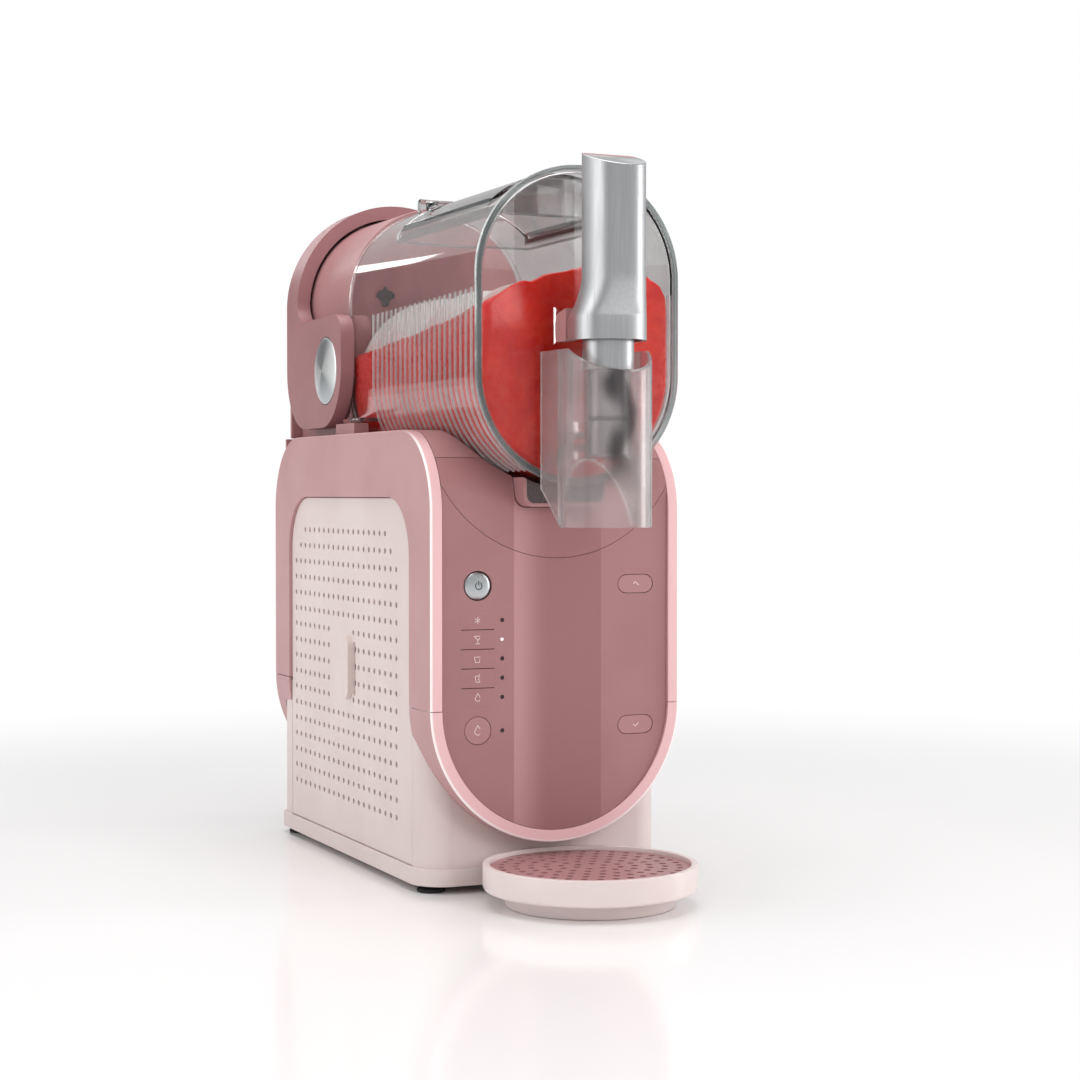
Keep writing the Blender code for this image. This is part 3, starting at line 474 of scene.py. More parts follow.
# acetal: dense milky white, silky and slightly waxy
whiteScraper = mouldedPlastic("whiteAcetal", ("F1EFEC", "E9E6E2"), 0.38)
# glass filled nylon: dull near-black with a coarse grain
blackHousing = mouldedPlastic("blackGlassFilledNylon", ("1E1E20", "262628"), 0.5, grainMm=1.4)
# rubber: mat black that swallows the light
footRubber = mouldedPlastic("matBlackRubber", ("1B1B1C", "232325"), 0.85, grainMm=0.7, relief=0.03)
# silicone: flat warm grey, dusty rather than shiny
sealRubber = mouldedPlastic("greySiliconeSeal", ("6D6A69", "5F5C5B"), 0.6, grainMm=0.8)
# pad printed ink: thin pale pink lines, flat on the key
paleInk = mouldedPlastic("palePinkPadPrint", ("EBD2D2", "E6CBCB"), 0.5, grainMm=0.5)
# woven filter mesh: taupe with a visible weave seen through the holes, drawn coarser than real
ventScreen = mouldedPlastic("taupeFilterMesh", ("A89B97", "9C8F8C"), 0.7, grainMm=1.1, relief=0.2)
# smoked ABS: dark brown grey with a wet looking gloss; on the catch window this dark colour is painted shade
# for the catch's shaded inside
smokeAndShade = mouldedPlastic("darkSmokedAbsAndShade", ("54494A", "493F40"), 0.25, coat=0.3)
# solder mask over copper: mottled bottle green, half gloss
greenBoard = mouldedPlastic("greenSolderMask", ("1F5A3C", "18492F"), 0.4, cloudMm=9, grainMm=1.6)
# painted highlight: a bright, nearly white bead standing in for the lit cut edge of the guard's arch
paintedEdgeHighlight = mouldedPlastic("whiteResinPaintedHighlight", ("F3F1F1", "E7E4E4"), 0.15, coat=0.5)


def drawnMetal(name, tints, rough, fineMm=0.5, stretch=60.0, along="Z", relief=0.008, aniso=0.45):
    mat, tree, shader = newMaterial(name)
    coords = put(tree, "ShaderNodeTexCoord").outputs["Object"]
    scale = [1 / (fineMm * mm)] * 3
    scale["XYZ".index(along)] /= stretch
    place = put(tree, "ShaderNodeMapping", {"Scale": scale, "Vector": coords})
    lines = put(tree, "ShaderNodeTexNoise", {"Scale": 1.0, "Detail": 4.0, "Roughness": 0.65,
                                             "Vector": place})
    cloud = put(tree, "ShaderNodeTexNoise", {"Scale": 1 / (30 * mm), "Vector": coords})
    both = put(tree, "ShaderNodeMath", {"operation": "MULTIPLY_ADD", 0: cloud, 1: 0.3, 2: lines})
    surface(shader, tintShift(tree, lines, 0.25, 0.75, *tints),
            (both, 0.3, 1.0, rough - 0.06, rough + 0.08), (lines, relief, 0.35),
            {"Metallic": 1.0, "Anisotropic": aniso})
    return mat


# brushed aluminium: fine vertical lines and a long soft highlight; lines drawn coarser than real
brushedGrip = drawnMetal("brushedAluminiumGrip", ("C2C3C4", "B0B1B3"), 0.34)
# satin chrome: cool even grey, the room blurred in its dome
chromeDome = drawnMetal("satinChromeDome", ("C3C6C8", "B4B8BA"), 0.36, stretch=4, aniso=0.0)
# deep drawn stainless steel: smooth, with faint lines along the drum
drumSteel = drawnMetal("drawnStainless", ("B9BBBC", "A6A8AA"), 0.28, along="Y")
# zinc plated sheet: dull silver with a cloudy bloom
plateSteel = drawnMetal("zincPlatedSteel", ("A9ACAE", "989B9E"), 0.38, fineMm=2, stretch=2, aniso=0.0)
# drawn copper tube: warm orange brown with a bright line along it
copperTube = drawnMetal("drawnCopper", ("B87352", "A96545"), 0.3, along="Z")
# die cast aluminium: pale grey, sandy skin
castAlloy = drawnMetal("dieCastAluminium", ("BFC2C4", "ABAEB1"), 0.45, fineMm=1.5, stretch=1, aniso=0.0,
                       relief=0.03)


def spunDisc(name, centreY, centreZ):
    mat, tree, shader = newMaterial(name)
    coords = put(tree, "ShaderNodeTexCoord").outputs["Object"]
    middle = put(tree, "ShaderNodeMapping", {"Location": (0, -centreY * mm, -centreZ * mm),
                                             "Vector": coords})
    part = put(tree, "ShaderNodeSeparateXYZ", {0: middle}).outputs
    turn = put(tree, "ShaderNodeMath", {"operation": "ARCTAN2", 0: part["Z"], 1: part["Y"]})
    twice = put(tree, "ShaderNodeMath", {"operation": "MULTIPLY_ADD", 0: turn, 1: 2.0, 2: 0.5})
    highlightWedge = put(tree, "ShaderNodeMath", {"operation": "COSINE", 0: twice})
    flat = put(tree, "ShaderNodeCombineXYZ", {"Y": part["Y"], "Z": part["Z"]})
    away = put(tree, "ShaderNodeVectorMath", {"operation": "LENGTH", 0: flat}).outputs["Value"]
    rings = put(tree, "ShaderNodeTexNoise", {"noise_dimensions": "1D", "Scale": 1 / (0.5 * mm),
                                             "W": away})
    # painted highlight: two bright wedges by angle round the disc centre
    tone = tintShift(tree, highlightWedge, -0.75, 0.95, "B9BDBF", "FBFCFC")
    groove = put(tree, "ShaderNodeMapRange", {"interpolation_type": "SMOOTHSTEP", "Value": rings,
                                              "From Min": 0.3, "From Max": 0.7, "To Max": 0.12})
    lined = put(tree, "ShaderNodeMix", {"data_type": "RGBA", 0: groove, 6: tone, 7: "6F7476"})
    surface(shader, lined.outputs[2], (rings, 0.3, 0.7, 0.28, 0.38), (rings, 0.01, 0.3),
            {"Metallic": 1.0})
    return mat


# spun aluminium: turning lines in rings, with two bright wedges of painted highlight
spunCap = spunDisc("spunAluminiumCap", 118.0, 325.6)


def paintedReflectionBand(tree, coords, colour):  # painted reflection: a dark upright band down the guard, drifting softly
    part = put(tree, "ShaderNodeSeparateXYZ", {"Vector": coords}).outputs
    drift = put(tree, "ShaderNodeTexNoise", {"Scale": 1 / (26 * mm), "Detail": 1.0,
                                             "Vector": coords})
    sway = put(tree, "ShaderNodeMath", {"operation": "MULTIPLY_ADD", 0: drift, 1: 30 * mm,
                                        2: -13 * mm})
    off = put(tree, "ShaderNodeMath", {"operation": "ADD", 0: part["X"], 1: sway})
    off = put(tree, "ShaderNodeMath", {"operation": "ABSOLUTE", 0: off})
    share = 1.0
    for source, start, end, first, last in ((off, 2, 11, 0.85, 0.0), (part["Z"], 240, 268, 0.0, 1.0),
                                            (part["Y"], -172, -164, 1.0, 0.0)):
        zone = put(tree, "ShaderNodeMapRange", {"interpolation_type": "SMOOTHSTEP",
                                                "Value": source, "From Min": start * mm,
                                                "From Max": end * mm, "To Min": first,
                                                "To Max": last})
        share = put(tree, "ShaderNodeMath", {"operation": "MULTIPLY", 0: share, 1: zone})
    # the band is painted dark grey as painted reflection
    return put(tree, "ShaderNodeMix", {"data_type": "RGBA", 0: share, 6: colour,
                                       7: "5B5657"}).outputs[2]


def clearResin(name, tints, rough, bend, haze=0.0, extra=None):
    mat, tree, shader = newMaterial(name)
    coords = put(tree, "ShaderNodeTexCoord").outputs["Object"]
    flow = put(tree, "ShaderNodeTexNoise", {"Scale": 1 / (38 * mm), "Detail": 2.0,
                                            "Vector": coords})
    scuff = put(tree, "ShaderNodeTexNoise", {"Scale": 1 / (6 * mm), "Detail": 4.0,
                                             "Vector": coords})
    colour = tintShift(tree, flow, 0.3, 0.7, *tints)
    if extra:
        colour = extra(tree, coords, colour)
    surface(shader, colour, (scuff, 0.45, 0.8, rough, rough + 0.05), (flow, 0.02, 0.25),
            {"IOR": bend, "Transmission Weight": 1.0 - haze})
    lamp = put(tree, "ShaderNodeLightPath").outputs["Is Shadow Ray"]  # lets the lamps through
    bare = put(tree, "ShaderNodeBsdfTransparent", {"Color": tints[0]})
    both = put(tree, "ShaderNodeMixShader", {0: lamp, 1: shader, 2: bare})
    fill(tree.nodes["Material Output"], {"Surface": both})
    return mat


# clear copolyester, injection moulded: water clear in the flat, grey in the edges
clearBowl = clearResin("clearCopolyester", ("F0EFEF", "E6E5E5"), 0.012, 1.34)
# its ribs scatter a little: fine milky lines over the drink
clearRib = clearResin("clearCopolyesterRib", ("F2F2F2", "E6E8E8"), 0.06, 1.4, haze=0.24)
# the lid's thicker wall: a cooler, slightly darker pane
clearLid = clearResin("clearCopolyesterLid", ("DCDEDE", "CDD0D0"), 0.03, 1.48)
# frosted rim: the edge gathers the light into a soft grey line
frostedRim = clearResin("frostedCopolyesterRim", ("BCC1C1", "A3A9A9"), 0.08, 1.45, haze=0.16)
# smoked copolyester, satin inside: a faint rosy veil, with a painted dark reflection as a band down the
# middle
smokeShield = clearResin("smokedCopolyester", ("EFEAEA", "DCD6D6"), 0.14, 1.42, haze=0.12,
                         extra=paintedReflectionBand)


def frozenDrink(name):
    mat, tree, shader = newMaterial(name)
    coords = put(tree, "ShaderNodeTexCoord").outputs["Object"]
    swirl = put(tree, "ShaderNodeTexNoise", {"Scale": 1 / (22 * mm), "Detail": 3.0,
                                             "Distortion": 1.2, "Vector": coords})
    crystals = put(tree, "ShaderNodeTexVoronoi", {"Scale": 1 / (1.8 * mm), "Vector": coords})
    lumps = put(tree, "ShaderNodeTexNoise", {"Scale": 1 / (5 * mm), "Detail": 5.0,
                                             "Vector": coords})
    body = tintShift(tree, swirl, 0.35, 0.7, "DA160A", "E93420")
    fleck = put(tree, "ShaderNodeMapRange", {"interpolation_type": "SMOOTHSTEP",
                                             "Value": crystals, "From Min": 0.0, "From Max": 0.28,
                                             "To Min": 0.14, "To Max": 0.0})
    flecked = put(tree, "ShaderNodeMix", {"data_type": "RGBA", 0: fleck, 6: body, 7: "FA8F7E"})
    height = put(tree, "ShaderNodeMath", {"operation": "MULTIPLY_ADD", 0: crystals, 1: 0.35,
                                          2: lumps})
    surface(shader, flecked.outputs[2], (lumps, 0.3, 0.7, 0.22, 0.42), (height, 0.5, 0.5),
            {"Subsurface Weight": 0.25, "Subsurface Radius": (1.0, 0.18, 0.1),
             "Subsurface Scale": 6 * mm, "IOR": 1.33, "Coat Weight": 0.5, "Coat Roughness": 0.12})
    return mat


# strawberry slush: wet ice crystals in red syrup, glowing where it is thin
strawberrySlush = frozenDrink("strawberryIceSlush")


def statusLens(name, litZ):
    mat, tree, shader = newMaterial(name)
    coords = put(tree, "ShaderNodeTexCoord").outputs["Object"]
    up = put(tree, "ShaderNodeSeparateXYZ", {"Vector": coords}).outputs["Z"]
    away = put(tree, "ShaderNodeMath", {"operation": "SUBTRACT", 0: up, 1: litZ * mm})
    near = put(tree, "ShaderNodeMath", {"operation": "ABSOLUTE", 0: away})
    fill(shader, {"Base Color": tintShift(tree, near, 1.0 * mm, 1.3 * mm, "EADCDC", "2E1719"),
                  "Emission Color": tintShift(tree, near, 1.0 * mm, 1.3 * mm, "F3E4E2", "000000"),
                  "Emission Strength": 0.55, "Roughness": 0.2, "IOR": 1.5})
    return mat


# acrylic light guide: dark glossy pin ends, the chosen key's one softly lit
statusLamp = statusLens("acrylicLightGuide", 154.5)
print("finishes made")


# housing: side covers, skirts, front

housing = {
    "half": 83.0, "cheek": 7.5, "inner": 75.2, "front": -98.7, "back": 208.0, "top": 281.0,
    "corner": 50.0, "seam": 112.0, "skirtZ": 113.0, "crease": 29.0, "wingBack": 2.3,
    "arcZ": 289.2, "arcR": 86.2, "apronTop": 263.6, "coverEdge": 1.3, "smallEdge": 0.35,
    "cradleR": 66.8,
}
baseSize = {"half": 80.8, "front": -80.0, "back": 200.0, "wall": 3.2, "low": 13.0, "top": 110.0,
            "scallopR": 64.1, "trayY": -144.5}
h = housing


def baseOutline(grow=0.0, steps=14):
    x, f, b = baseSize["half"] + grow, baseSize["front"] - grow, baseSize["back"] + grow
    return roundCorners([(-x, f, 19 + grow), (x, f, 19 + grow), (x, b, 14 + grow),
                         (-x, b, 14 + grow)], steps)


def deckOutline(inset=0.0, low=60.0, back=204.6):
    r = h["corner"] - inset
    return roundCorners([(h["front"] + inset, low, 0), (back, low, 0), (back, h["top"] - inset, 0),
                         (h["front"] + inset, h["top"] - inset, r)], 30)


def ventOutline(grow=0.0, low=15.4):
    return roundCorners([(-62 - grow, low, 0), (175 + grow, low, 0),
                         (175 + grow, 239.3 + grow, 36 + grow),
                         (-62 - grow, 239.3 + grow, 36 + grow)], 24)


def catchMouth(half, low, top, radius, steps=10):
    return roundCorners([(-half, low, radius), (half, low, radius), (half, top, 0),
                         (-half, top, 0)], steps)


def wingY(x):
    over = max(0.0, abs(x) - h["crease"])
    return h["front"] + h["wingBack"] * over / (h["inner"] - h["crease"])


def frontSlab(name, back, z0, z1):
    edge, c = h["inner"], h["crease"]
    return pushed(name, [(-edge, wingY(edge)), (-c, h["front"]), (c, h["front"]),
                         (edge, wingY(edge)), (edge, back), (-edge, back)], "Z", z0, z1)


def buildCovers():
    outline = roundCorners([(h["front"], h["seam"] + 0.4, 0), (h["back"], h["seam"] + 0.4, 0),
                            (h["back"], h["top"], h["corner"]),
                            (h["front"], h["top"], h["corner"])], 30)
    for side, s in (("left", -1), ("right", 1)):
        x0, x1 = sorted((s * (h["half"] - h["cheek"]), s * h["half"]))
        cover = pushed(f"cover_shell_{side}", outline, "X", x0, x1)
        carve(cover, pushed("arch", ventOutline(0.35, 50), "X", *sorted((s * 60, s * 100))))
        onRim = lambda p: (abs(abs(p.x) - h["half"]) < 0.1 and p.z > h["seam"] + 1
                           and (p.y < h["front"] + 55 or p.y > h["back"] - 55 or p.z > 240)
                           and not (-62.6 < p.y < 175.6 and p.z < 240))
        soften(cover, h["coverEdge"], 4, 40, onRim)
        soften(cover, h["smallEdge"], 2, 60)
        dress(cover, "machine", roseCover, (f"side_cover_{side}",))
    for name, y0, y1 in (("front_skirt", h["front"], -63.0), ("rear_skirt", 175.8, h["back"])):
        lift = math.degrees(math.asin((h["skirtZ"] - h["seam"]) / h["half"]))
        inner = h["half"] - h["cheek"]
        ring = (arcPoints(0, h["skirtZ"], h["half"], 180 + lift, 360 - lift, 96)
                + arcPoints(0, h["skirtZ"], inner, 360 - lift, 180 + lift, 96))
        skirt = pushed(name + "_shell", ring, "Y", y0, y1)
        carve(skirt, pushed("clear", baseOutline(0.35), "Z", -5, 200))
        outerEdge = lambda p: (math.hypot(p.x, p.z - h["skirtZ"]) > h["half"] - 0.4
                               and (p.y < h["front"] + 0.2 or p.y > h["back"] - 0.2)
                               and p.z < h["seam"] - 1)
        soften(skirt, h["coverEdge"], 4, 40, outerEdge)
        soften(skirt, h["smallEdge"], 2, 60)
        dress(skirt, "machine", roseCover, (name,))


controls = {"keyX": -52.2, "keyZ": (166.1, 154.5, 143.0, 131.4, 119.8), "lampX": -36.6,
            "powerZ": 186.8, "rinseZ": 100.0, "tempX": 53.2, "tempZ": (186.4, 99.4),
            "printLift": 0.07}


def buildFront():
    r = h["arcR"] + 0.15
    side = h["arcZ"] - math.sqrt(r * r - h["inner"] ** 2)
    reach = math.degrees(math.asin(h["inner"] / r))
    outline = (arcPoints(0, h["skirtZ"], h["inner"], 360, 180, 90) + [(-h["inner"], side)]
               + arcPoints(0, h["arcZ"], r, 270 - reach, 270 + reach, 60)[1:-1]
               + [(h["inner"], side)])
    panel = frontSlab("control_fascia", -93.6, 20, 260)
    keepInside(panel, pushed("shape", outline, "Y", -120, -80))
    kx = controls["keyX"]
    cutters = [bar("power", "Y", kx, controls["powerZ"], 9.0, -120, -80),
               bar("rinse", "Y", kx, controls["rinseZ"], 8.6, -120, -80),
               pushed("keys", [(kx - 10.53, 114.1), (kx + 10.53, 114.1), (kx + 10.53, 171.8),
                               (kx - 10.53, 171.8)], "Y", -120, -80)]
    cutters += [pushed("pill", pill(controls["tempX"], z, 12.5, 5.9), "Y", -120, -80)
                for z in controls["tempZ"]]
    cutters += [bar("lamp", "Y", controls["lampX"], z, 1.3, -120, -80, 20)
                for z in (*controls["keyZ"], 99.6)]
    carve(panel, *cutters)
    soften(panel, 0.22, 2, 50)
    dress(panel, "machine", rosePanel, ("front_panel",), smooth=2.2, weighted=False)
    r = h["arcR"] - 0.15
    reach = math.degrees(math.asin(h["inner"] / r))
    shape = arcPoints(0, h["arcZ"], r, 270 - reach, 270 + reach, 60) + [
        (h["inner"], h["apronTop"] - 0.15), (-h["inner"], h["apronTop"] - 0.15)]
    apron = frontSlab("apron_shell", 40, 190, 270)
    keepInside(apron, pushed("outer", deckOutline(), "X", -h["inner"], h["inner"]))
    carve(apron, pushed("inner", deckOutline(3.5), "X", -90, 90))
    keepInside(apron, pushed("arc", shape, "Y", -130, 60))
    carve(apron, bar("cradle", "Y", 0, axisZ, h["cradleR"], -130, 90, 128),
          pushed("slot", catchMouth(28.5, 233.5, 262, 7, 8), "Y", -130, -60))
    soften(apron, 0.25, 2, 50)
    dress(apron, "machine", rosePanel, ("front_apron",), smooth=2.2, weighted=False)


def buildDeck():
    deck = pushed("deck_shell", deckOutline(0, 100), "X", -h["inner"], h["inner"])
    carve(deck, pushed("inside", deckOutline(4.2, 90, 200.4), "X", -90, 90),
          block("apronSpace", -90, 90, -120, 230, 80, h["apronTop"] + 0.15))
    under = pushed("cradle", arcPoints(0, axisZ, 69.8, 180, 360, 64), "Y", -98, 103)
    fuse(under, block("pocket", -31.2, 31.2, -98, -52.6, 230.8, 256))
    keepInside(under, pushed("trim", deckOutline(3.8, 100, 150), "X", -90, 90))
    fuse(deck, under, *[block("rail", *sorted((s * 64.0, s * 74.0)), 62, 99, 279, 288.6)
                        for s in (-1, 1)])
    carve(deck, bar("bore", "Y", 0, axisZ, h["cradleR"], -130, 100, 128),
          pushed("slot", catchMouth(28.5, 233.5, 262, 7, 8), "Y", -130, -55),
          block("opening", -55, 55, 107, 196, 250, 300))
    for s in (-1, 1):
        strip = block("corner", *sorted((s * 71.6, s * 80)), 140, 215, 225, 290)
        keep = pushed("keep", roundCorners([(100, 200, 0), (204.6, 200, 0), (204.6, h["top"], 49),
                                            (100, h["top"], 0)], 24), "X", -90, 90)
        carve(deck, carve(strip, keep))
    soften(deck, 0.5, 2, 50)
    dress(deck, "machine", roseShadedCopy, ("top_cover",))
    pocket = pushed("catch_body", catchMouth(28, 234, 262, 7), "Y", -110, -56)
    carve(pocket, pushed("pocket", catchMouth(26, 236, 270, 5.5), "Y", -108, -58),
          bar("over", "Y", 0, axisZ, 67.3, -130, -40, 128))
    lip = catchMouth(25.6, 236.2, 270, 5.2)
    carve(pocket, pushed("recess", lip, "Y", -112, -109.1))
    # painted shade: a dark window across the catch front stands in for its shaded inside
    window = pushed("catch_shade_window", lip, "Y", -109.5, -109.05)
    carve(window, bar("over", "Y", 0, axisZ, 67.5, -130, -40, 128))
    dress(window, "catch", smokeAndShade, weighted=False)
    soften(pocket, 0.3, 2, 50)
    dress(pocket, "catch", rosePlain, ("condensation_catch",))


buildCovers()
buildFront()
buildDeck()
print("housing built")


# base, perforated side panels, feet

vents = {"xIn": 78.8, "xOut": 80.8, "pitchAlong": 10.0, "pitchUp": 11.0, "holeR": 1.95,
         "columns": 21, "rows": 17, "topRow": 217.0, "middle": 65.0, "shortHalf": 80.5,
         "fullHalf": 100.5, "pullY": 66.0, "pullZ": 127.5, "pullHalfY": 20.0, "pullHalfZ": 24.0}


def perforationTree():
    v = vents
    sizes = {"Pitch Along": v["pitchAlong"] * mm, "Pitch Up": v["pitchUp"] * mm,
             "Hole Radius": v["holeR"] * mm, "Columns": v["columns"], "Rows": v["rows"],
             "Wall X": v["xOut"] * mm, "Top Row": v["topRow"] * mm, "Middle": v["middle"] * mm,
             "Short Half": v["shortHalf"] * mm, "Full Half": v["fullHalf"] * mm,
             "Material": creamBase}
    tree, sock, out = newGeoTree("ventPerforation", sizes)
    spans = []
    for count, pitch in (("Columns", "Pitch Along"), ("Rows", "Pitch Up")):
        gaps = put(tree, "ShaderNodeMath", {"operation": "SUBTRACT", 0: sock[count], 1: 1.0})
        spans.append(put(tree, "ShaderNodeMath", {"operation": "MULTIPLY", 0: gaps,
                                                  1: sock[pitch]}))
    grid = put(tree, "GeometryNodeMeshGrid", {"Size X": spans[0], "Size Y": spans[1],
                                              "Vertices X": sock["Columns"],
                                              "Vertices Y": sock["Rows"]})
    halfTall = put(tree, "ShaderNodeMath", {"operation": "MULTIPLY", 0: spans[1], 1: 0.5})
    centreZ = put(tree, "ShaderNodeMath", {"operation": "SUBTRACT", 0: sock["Top Row"],
                                           1: halfTall})
    spot = put(tree, "ShaderNodeCombineXYZ", {"X": sock["Wall X"], "Y": sock["Middle"],
                                              "Z": centreZ})
    upright = put(tree, "GeometryNodeTransform", {"Rotation": (math.pi / 2, 0, math.pi / 2),
                                                  "Geometry": grid, "Translation": spot})
    place = put(tree, "GeometryNodeInputPosition")
    where = put(tree, "ShaderNodeSeparateXYZ", {0: place}).outputs
    offset = put(tree, "ShaderNodeMath", {"operation": "SUBTRACT", 0: where["Y"],
                                          1: sock["Middle"]})
    aside = put(tree, "ShaderNodeMath", {"operation": "ABSOLUTE", 0: offset})
    below = put(tree, "ShaderNodeMath", {"operation": "SUBTRACT", 0: sock["Top Row"],
                                         1: where["Z"]})
    wider = put(tree, "ShaderNodeMath", {"operation": "MULTIPLY_ADD", 0: below,
                                         1: v["pitchAlong"] / v["pitchUp"],
                                         2: sock["Short Half"]})  # one column a row
    limit = put(tree, "ShaderNodeMath", {"operation": "MINIMUM", 0: wider, 1: sock["Full Half"]})
    outside = put(tree, "ShaderNodeMath", {"operation": "GREATER_THAN", 0: aside, 1: limit})
    atPull = 1.0
    for axis, middle, half in (("Y", v["pullY"], v["pullHalfY"]), ("Z", v["pullZ"], v["pullHalfZ"])):
        near = put(tree, "ShaderNodeMath", {"operation": "COMPARE", 0: where[axis],
                                            1: middle * mm, 2: half * mm})
        atPull = put(tree, "ShaderNodeMath", {"operation": "MULTIPLY", 0: near, 1: atPull})
    gone = put(tree, "ShaderNodeMath", {"operation": "MAXIMUM", 0: outside, 1: atPull})
    kept = put(tree, "GeometryNodeDeleteGeometry", {"domain": "POINT", "Geometry": upright,
                                                    "Selection": gone})
    drill = put(tree, "GeometryNodeMeshCylinder", {"Vertices": 14, "Depth": 12 * mm,
                                                   "Radius": sock["Hole Radius"]})
    drills = put(tree, "GeometryNodeInstanceOnPoints", {"Rotation": (0, math.pi / 2, 0),
                                                        "Points": kept, "Instance": drill})
    solid = put(tree, "GeometryNodeRealizeInstances", {0: drills})
    cut = put(tree, "GeometryNodeMeshBoolean", {"operation": "DIFFERENCE", "solver": "EXACT",
                                                0: sock["Geometry"], 1: solid})
    return endTree(tree, cut, sock, out)


def buildBase():
    tub = pushed("tub_shell", baseOutline(), "Z", baseSize["low"], baseSize["top"])
    flange = roundCorners([(-82.4, -83.4, 21), (82.4, -83.4, 21), (82.4, 203.2, 15),
                           (-82.4, 203.2, 15)], 14)
    fuse(tub, pushed("flange", flange, "Z", 4.6, 15.0))
    carve(tub, pushed("well", baseOutline(-baseSize["wall"]), "Z", 9.0, 120.0))
    for s in (-1, 1):
        carve(tub, pushed("bay", ventOutline(0.4, 15.0), "X", *sorted((s * 78.4, s * 90.0))),
              pushed("window", roundCorners([(-46, 26, 6), (160, 26, 6), (160, 130, 0),
                                             (-46, 130, 0)], 6), "X", *sorted((s * 70.0, s * 90.0))))
    carve(tub, bar("scallop", "Z", 0, baseSize["trayY"], baseSize["scallopR"], -1, 30, 128))
    soften(tub, 0.9, 3, 50, lambda p: 4 < p.z < 5 or 14.5 < p.z < 15.5 and abs(p.x) > 82)
    soften(tub, 0.4, 2, 60)
    dress(tub, "machine", creamBase, ("base_tub",))
    tree = perforationTree()
    for side, s in (("left", -1), ("right", 1)):
        panel = pushed(f"vent_grille_{side}", ventOutline(), "X",
                       *sorted((s * vents["xIn"], s * vents["xOut"])))
        carve(panel, pushed("fingerDish", roundCorners([(40.5, 110, 3), (47, 110, 3), (47, 145, 3),
                                                        (40.5, 145, 3)], 6), "X",
                            *sorted((s * 79.4, s * 90))))
        soften(panel, 0.5, 3, 50, lambda p: abs(abs(p.x) - vents["xOut"]) < 0.1)
        runTree(panel, tree, {"Wall X": s * vents["xOut"] * mm, "Material": creamBase})
        pull = pushed("pull", roundCorners([(46, 107, 8), (62, 107, 8), (62, 148, 8),
                                            (46, 148, 8)], 10), "X", *sorted((s * 79.5, s * 90.0)))
        lean = [(79.8, 90), (80.9, 63), (84.6, 50), (84.6, 40), (70, 40), (70, 90)]
        keepInside(pull, pushed("lean", [(s * x, y) for x, y in lean], "Z", 90, 160))
        soften(pull, 0.6, 3, 40, lambda p: abs(p.x) > 80.9)
        panel = merge([panel, pull], f"vent_grille_{side}")
        dress(panel, f"vent_{side}", creamBase, (f"vent_panel_{side}",))
        screen = pushed(f"vent_screen_{side}", ventOutline(-3, 20), "X",
                        *sorted((s * 78.5, s * 78.75)))
        dress(screen, f"vent_{side}", ventScreen, weighted=False)


buildBase()
for name in ("foot_front_left", "foot_front_right", "foot_back_left", "foot_back_right"):
    refined(name, "machine", footRubber, 0.25)
print("base and vents built")


# keys, buttons, lamps, printed marks

def flatMark(name, outlines, x, z, depth=0.12):
    parts = []
    for outline in outlines:
        spots = [(x + a, z + b) for a, b in outline]
        parts.append(pushed("mark", spots, "Y", wingY(x) - controls["printLift"], wingY(x) + depth))
    return merge(parts, name)


def stroke(x0, z0, x1, z1, wide=0.4):
    along = Vector((x1 - x0, z1 - z0)).normalized()
    side = Vector((-along.y, along.x)) * wide / 2
    return [(x0 + side.x, z0 + side.y), (x0 - side.x, z0 - side.y),
            (x1 - side.x, z1 - side.y), (x1 + side.x, z1 + side.y)]


def ringMark(radius, wide, start=0, end=360, steps=40):
    outer = arcPoints(0, 0, radius, start, end, steps)
    inner = arcPoints(0, 0, radius - wide, start, end, steps)
    return [[outer[i], outer[i + 1], inner[i + 1], inner[i]] for i in range(steps)]


keyMarks = {
    "key_slush": [stroke(-2.2 * math.cos(a), -2.2 * math.sin(a), 2.2 * math.cos(a),
                         2.2 * math.sin(a)) for a in (math.pi / 2, math.pi / 6, -math.pi / 6)],
    "key_frozen_cocktail": [stroke(-2.4, 2.2, 2.4, 2.2), stroke(-2.4, 2.2, 0, -0.2),
                            stroke(2.4, 2.2, 0, -0.2), stroke(0, -0.2, 0, -2.4),
                            stroke(-1.4, -2.4, 1.4, -2.4)],
    "key_frappe": [stroke(-2.2, 1.2, 1.6, 1.2), stroke(-2.2, 1.2, -1.6, -2.0),
                   stroke(1.6, 1.2, 1.0, -2.0), stroke(-1.6, -2.0, 1.0, -2.0),
                   stroke(1.5, 0.6, 2.6, 0.2), stroke(2.6, 0.2, 1.2, -0.8)],
    "key_milkshake": [stroke(-1.7, 1.4, 1.7, 1.4), stroke(-1.7, 1.4, -1.1, -2.3),
                      stroke(1.7, 1.4, 1.1, -2.3), stroke(-1.1, -2.3, 1.1, -2.3),
                      stroke(0.2, -1.2, 1.2, 2.7)],
    "key_frozen_juice": [[(a, b - 0.5) for a, b in quad] for quad in ringMark(1.8, 0.4, 130, 410)]
                        + [stroke(-1.15, 0.85, 0, 2.6), stroke(1.15, 0.85, 0, 2.6)],
}


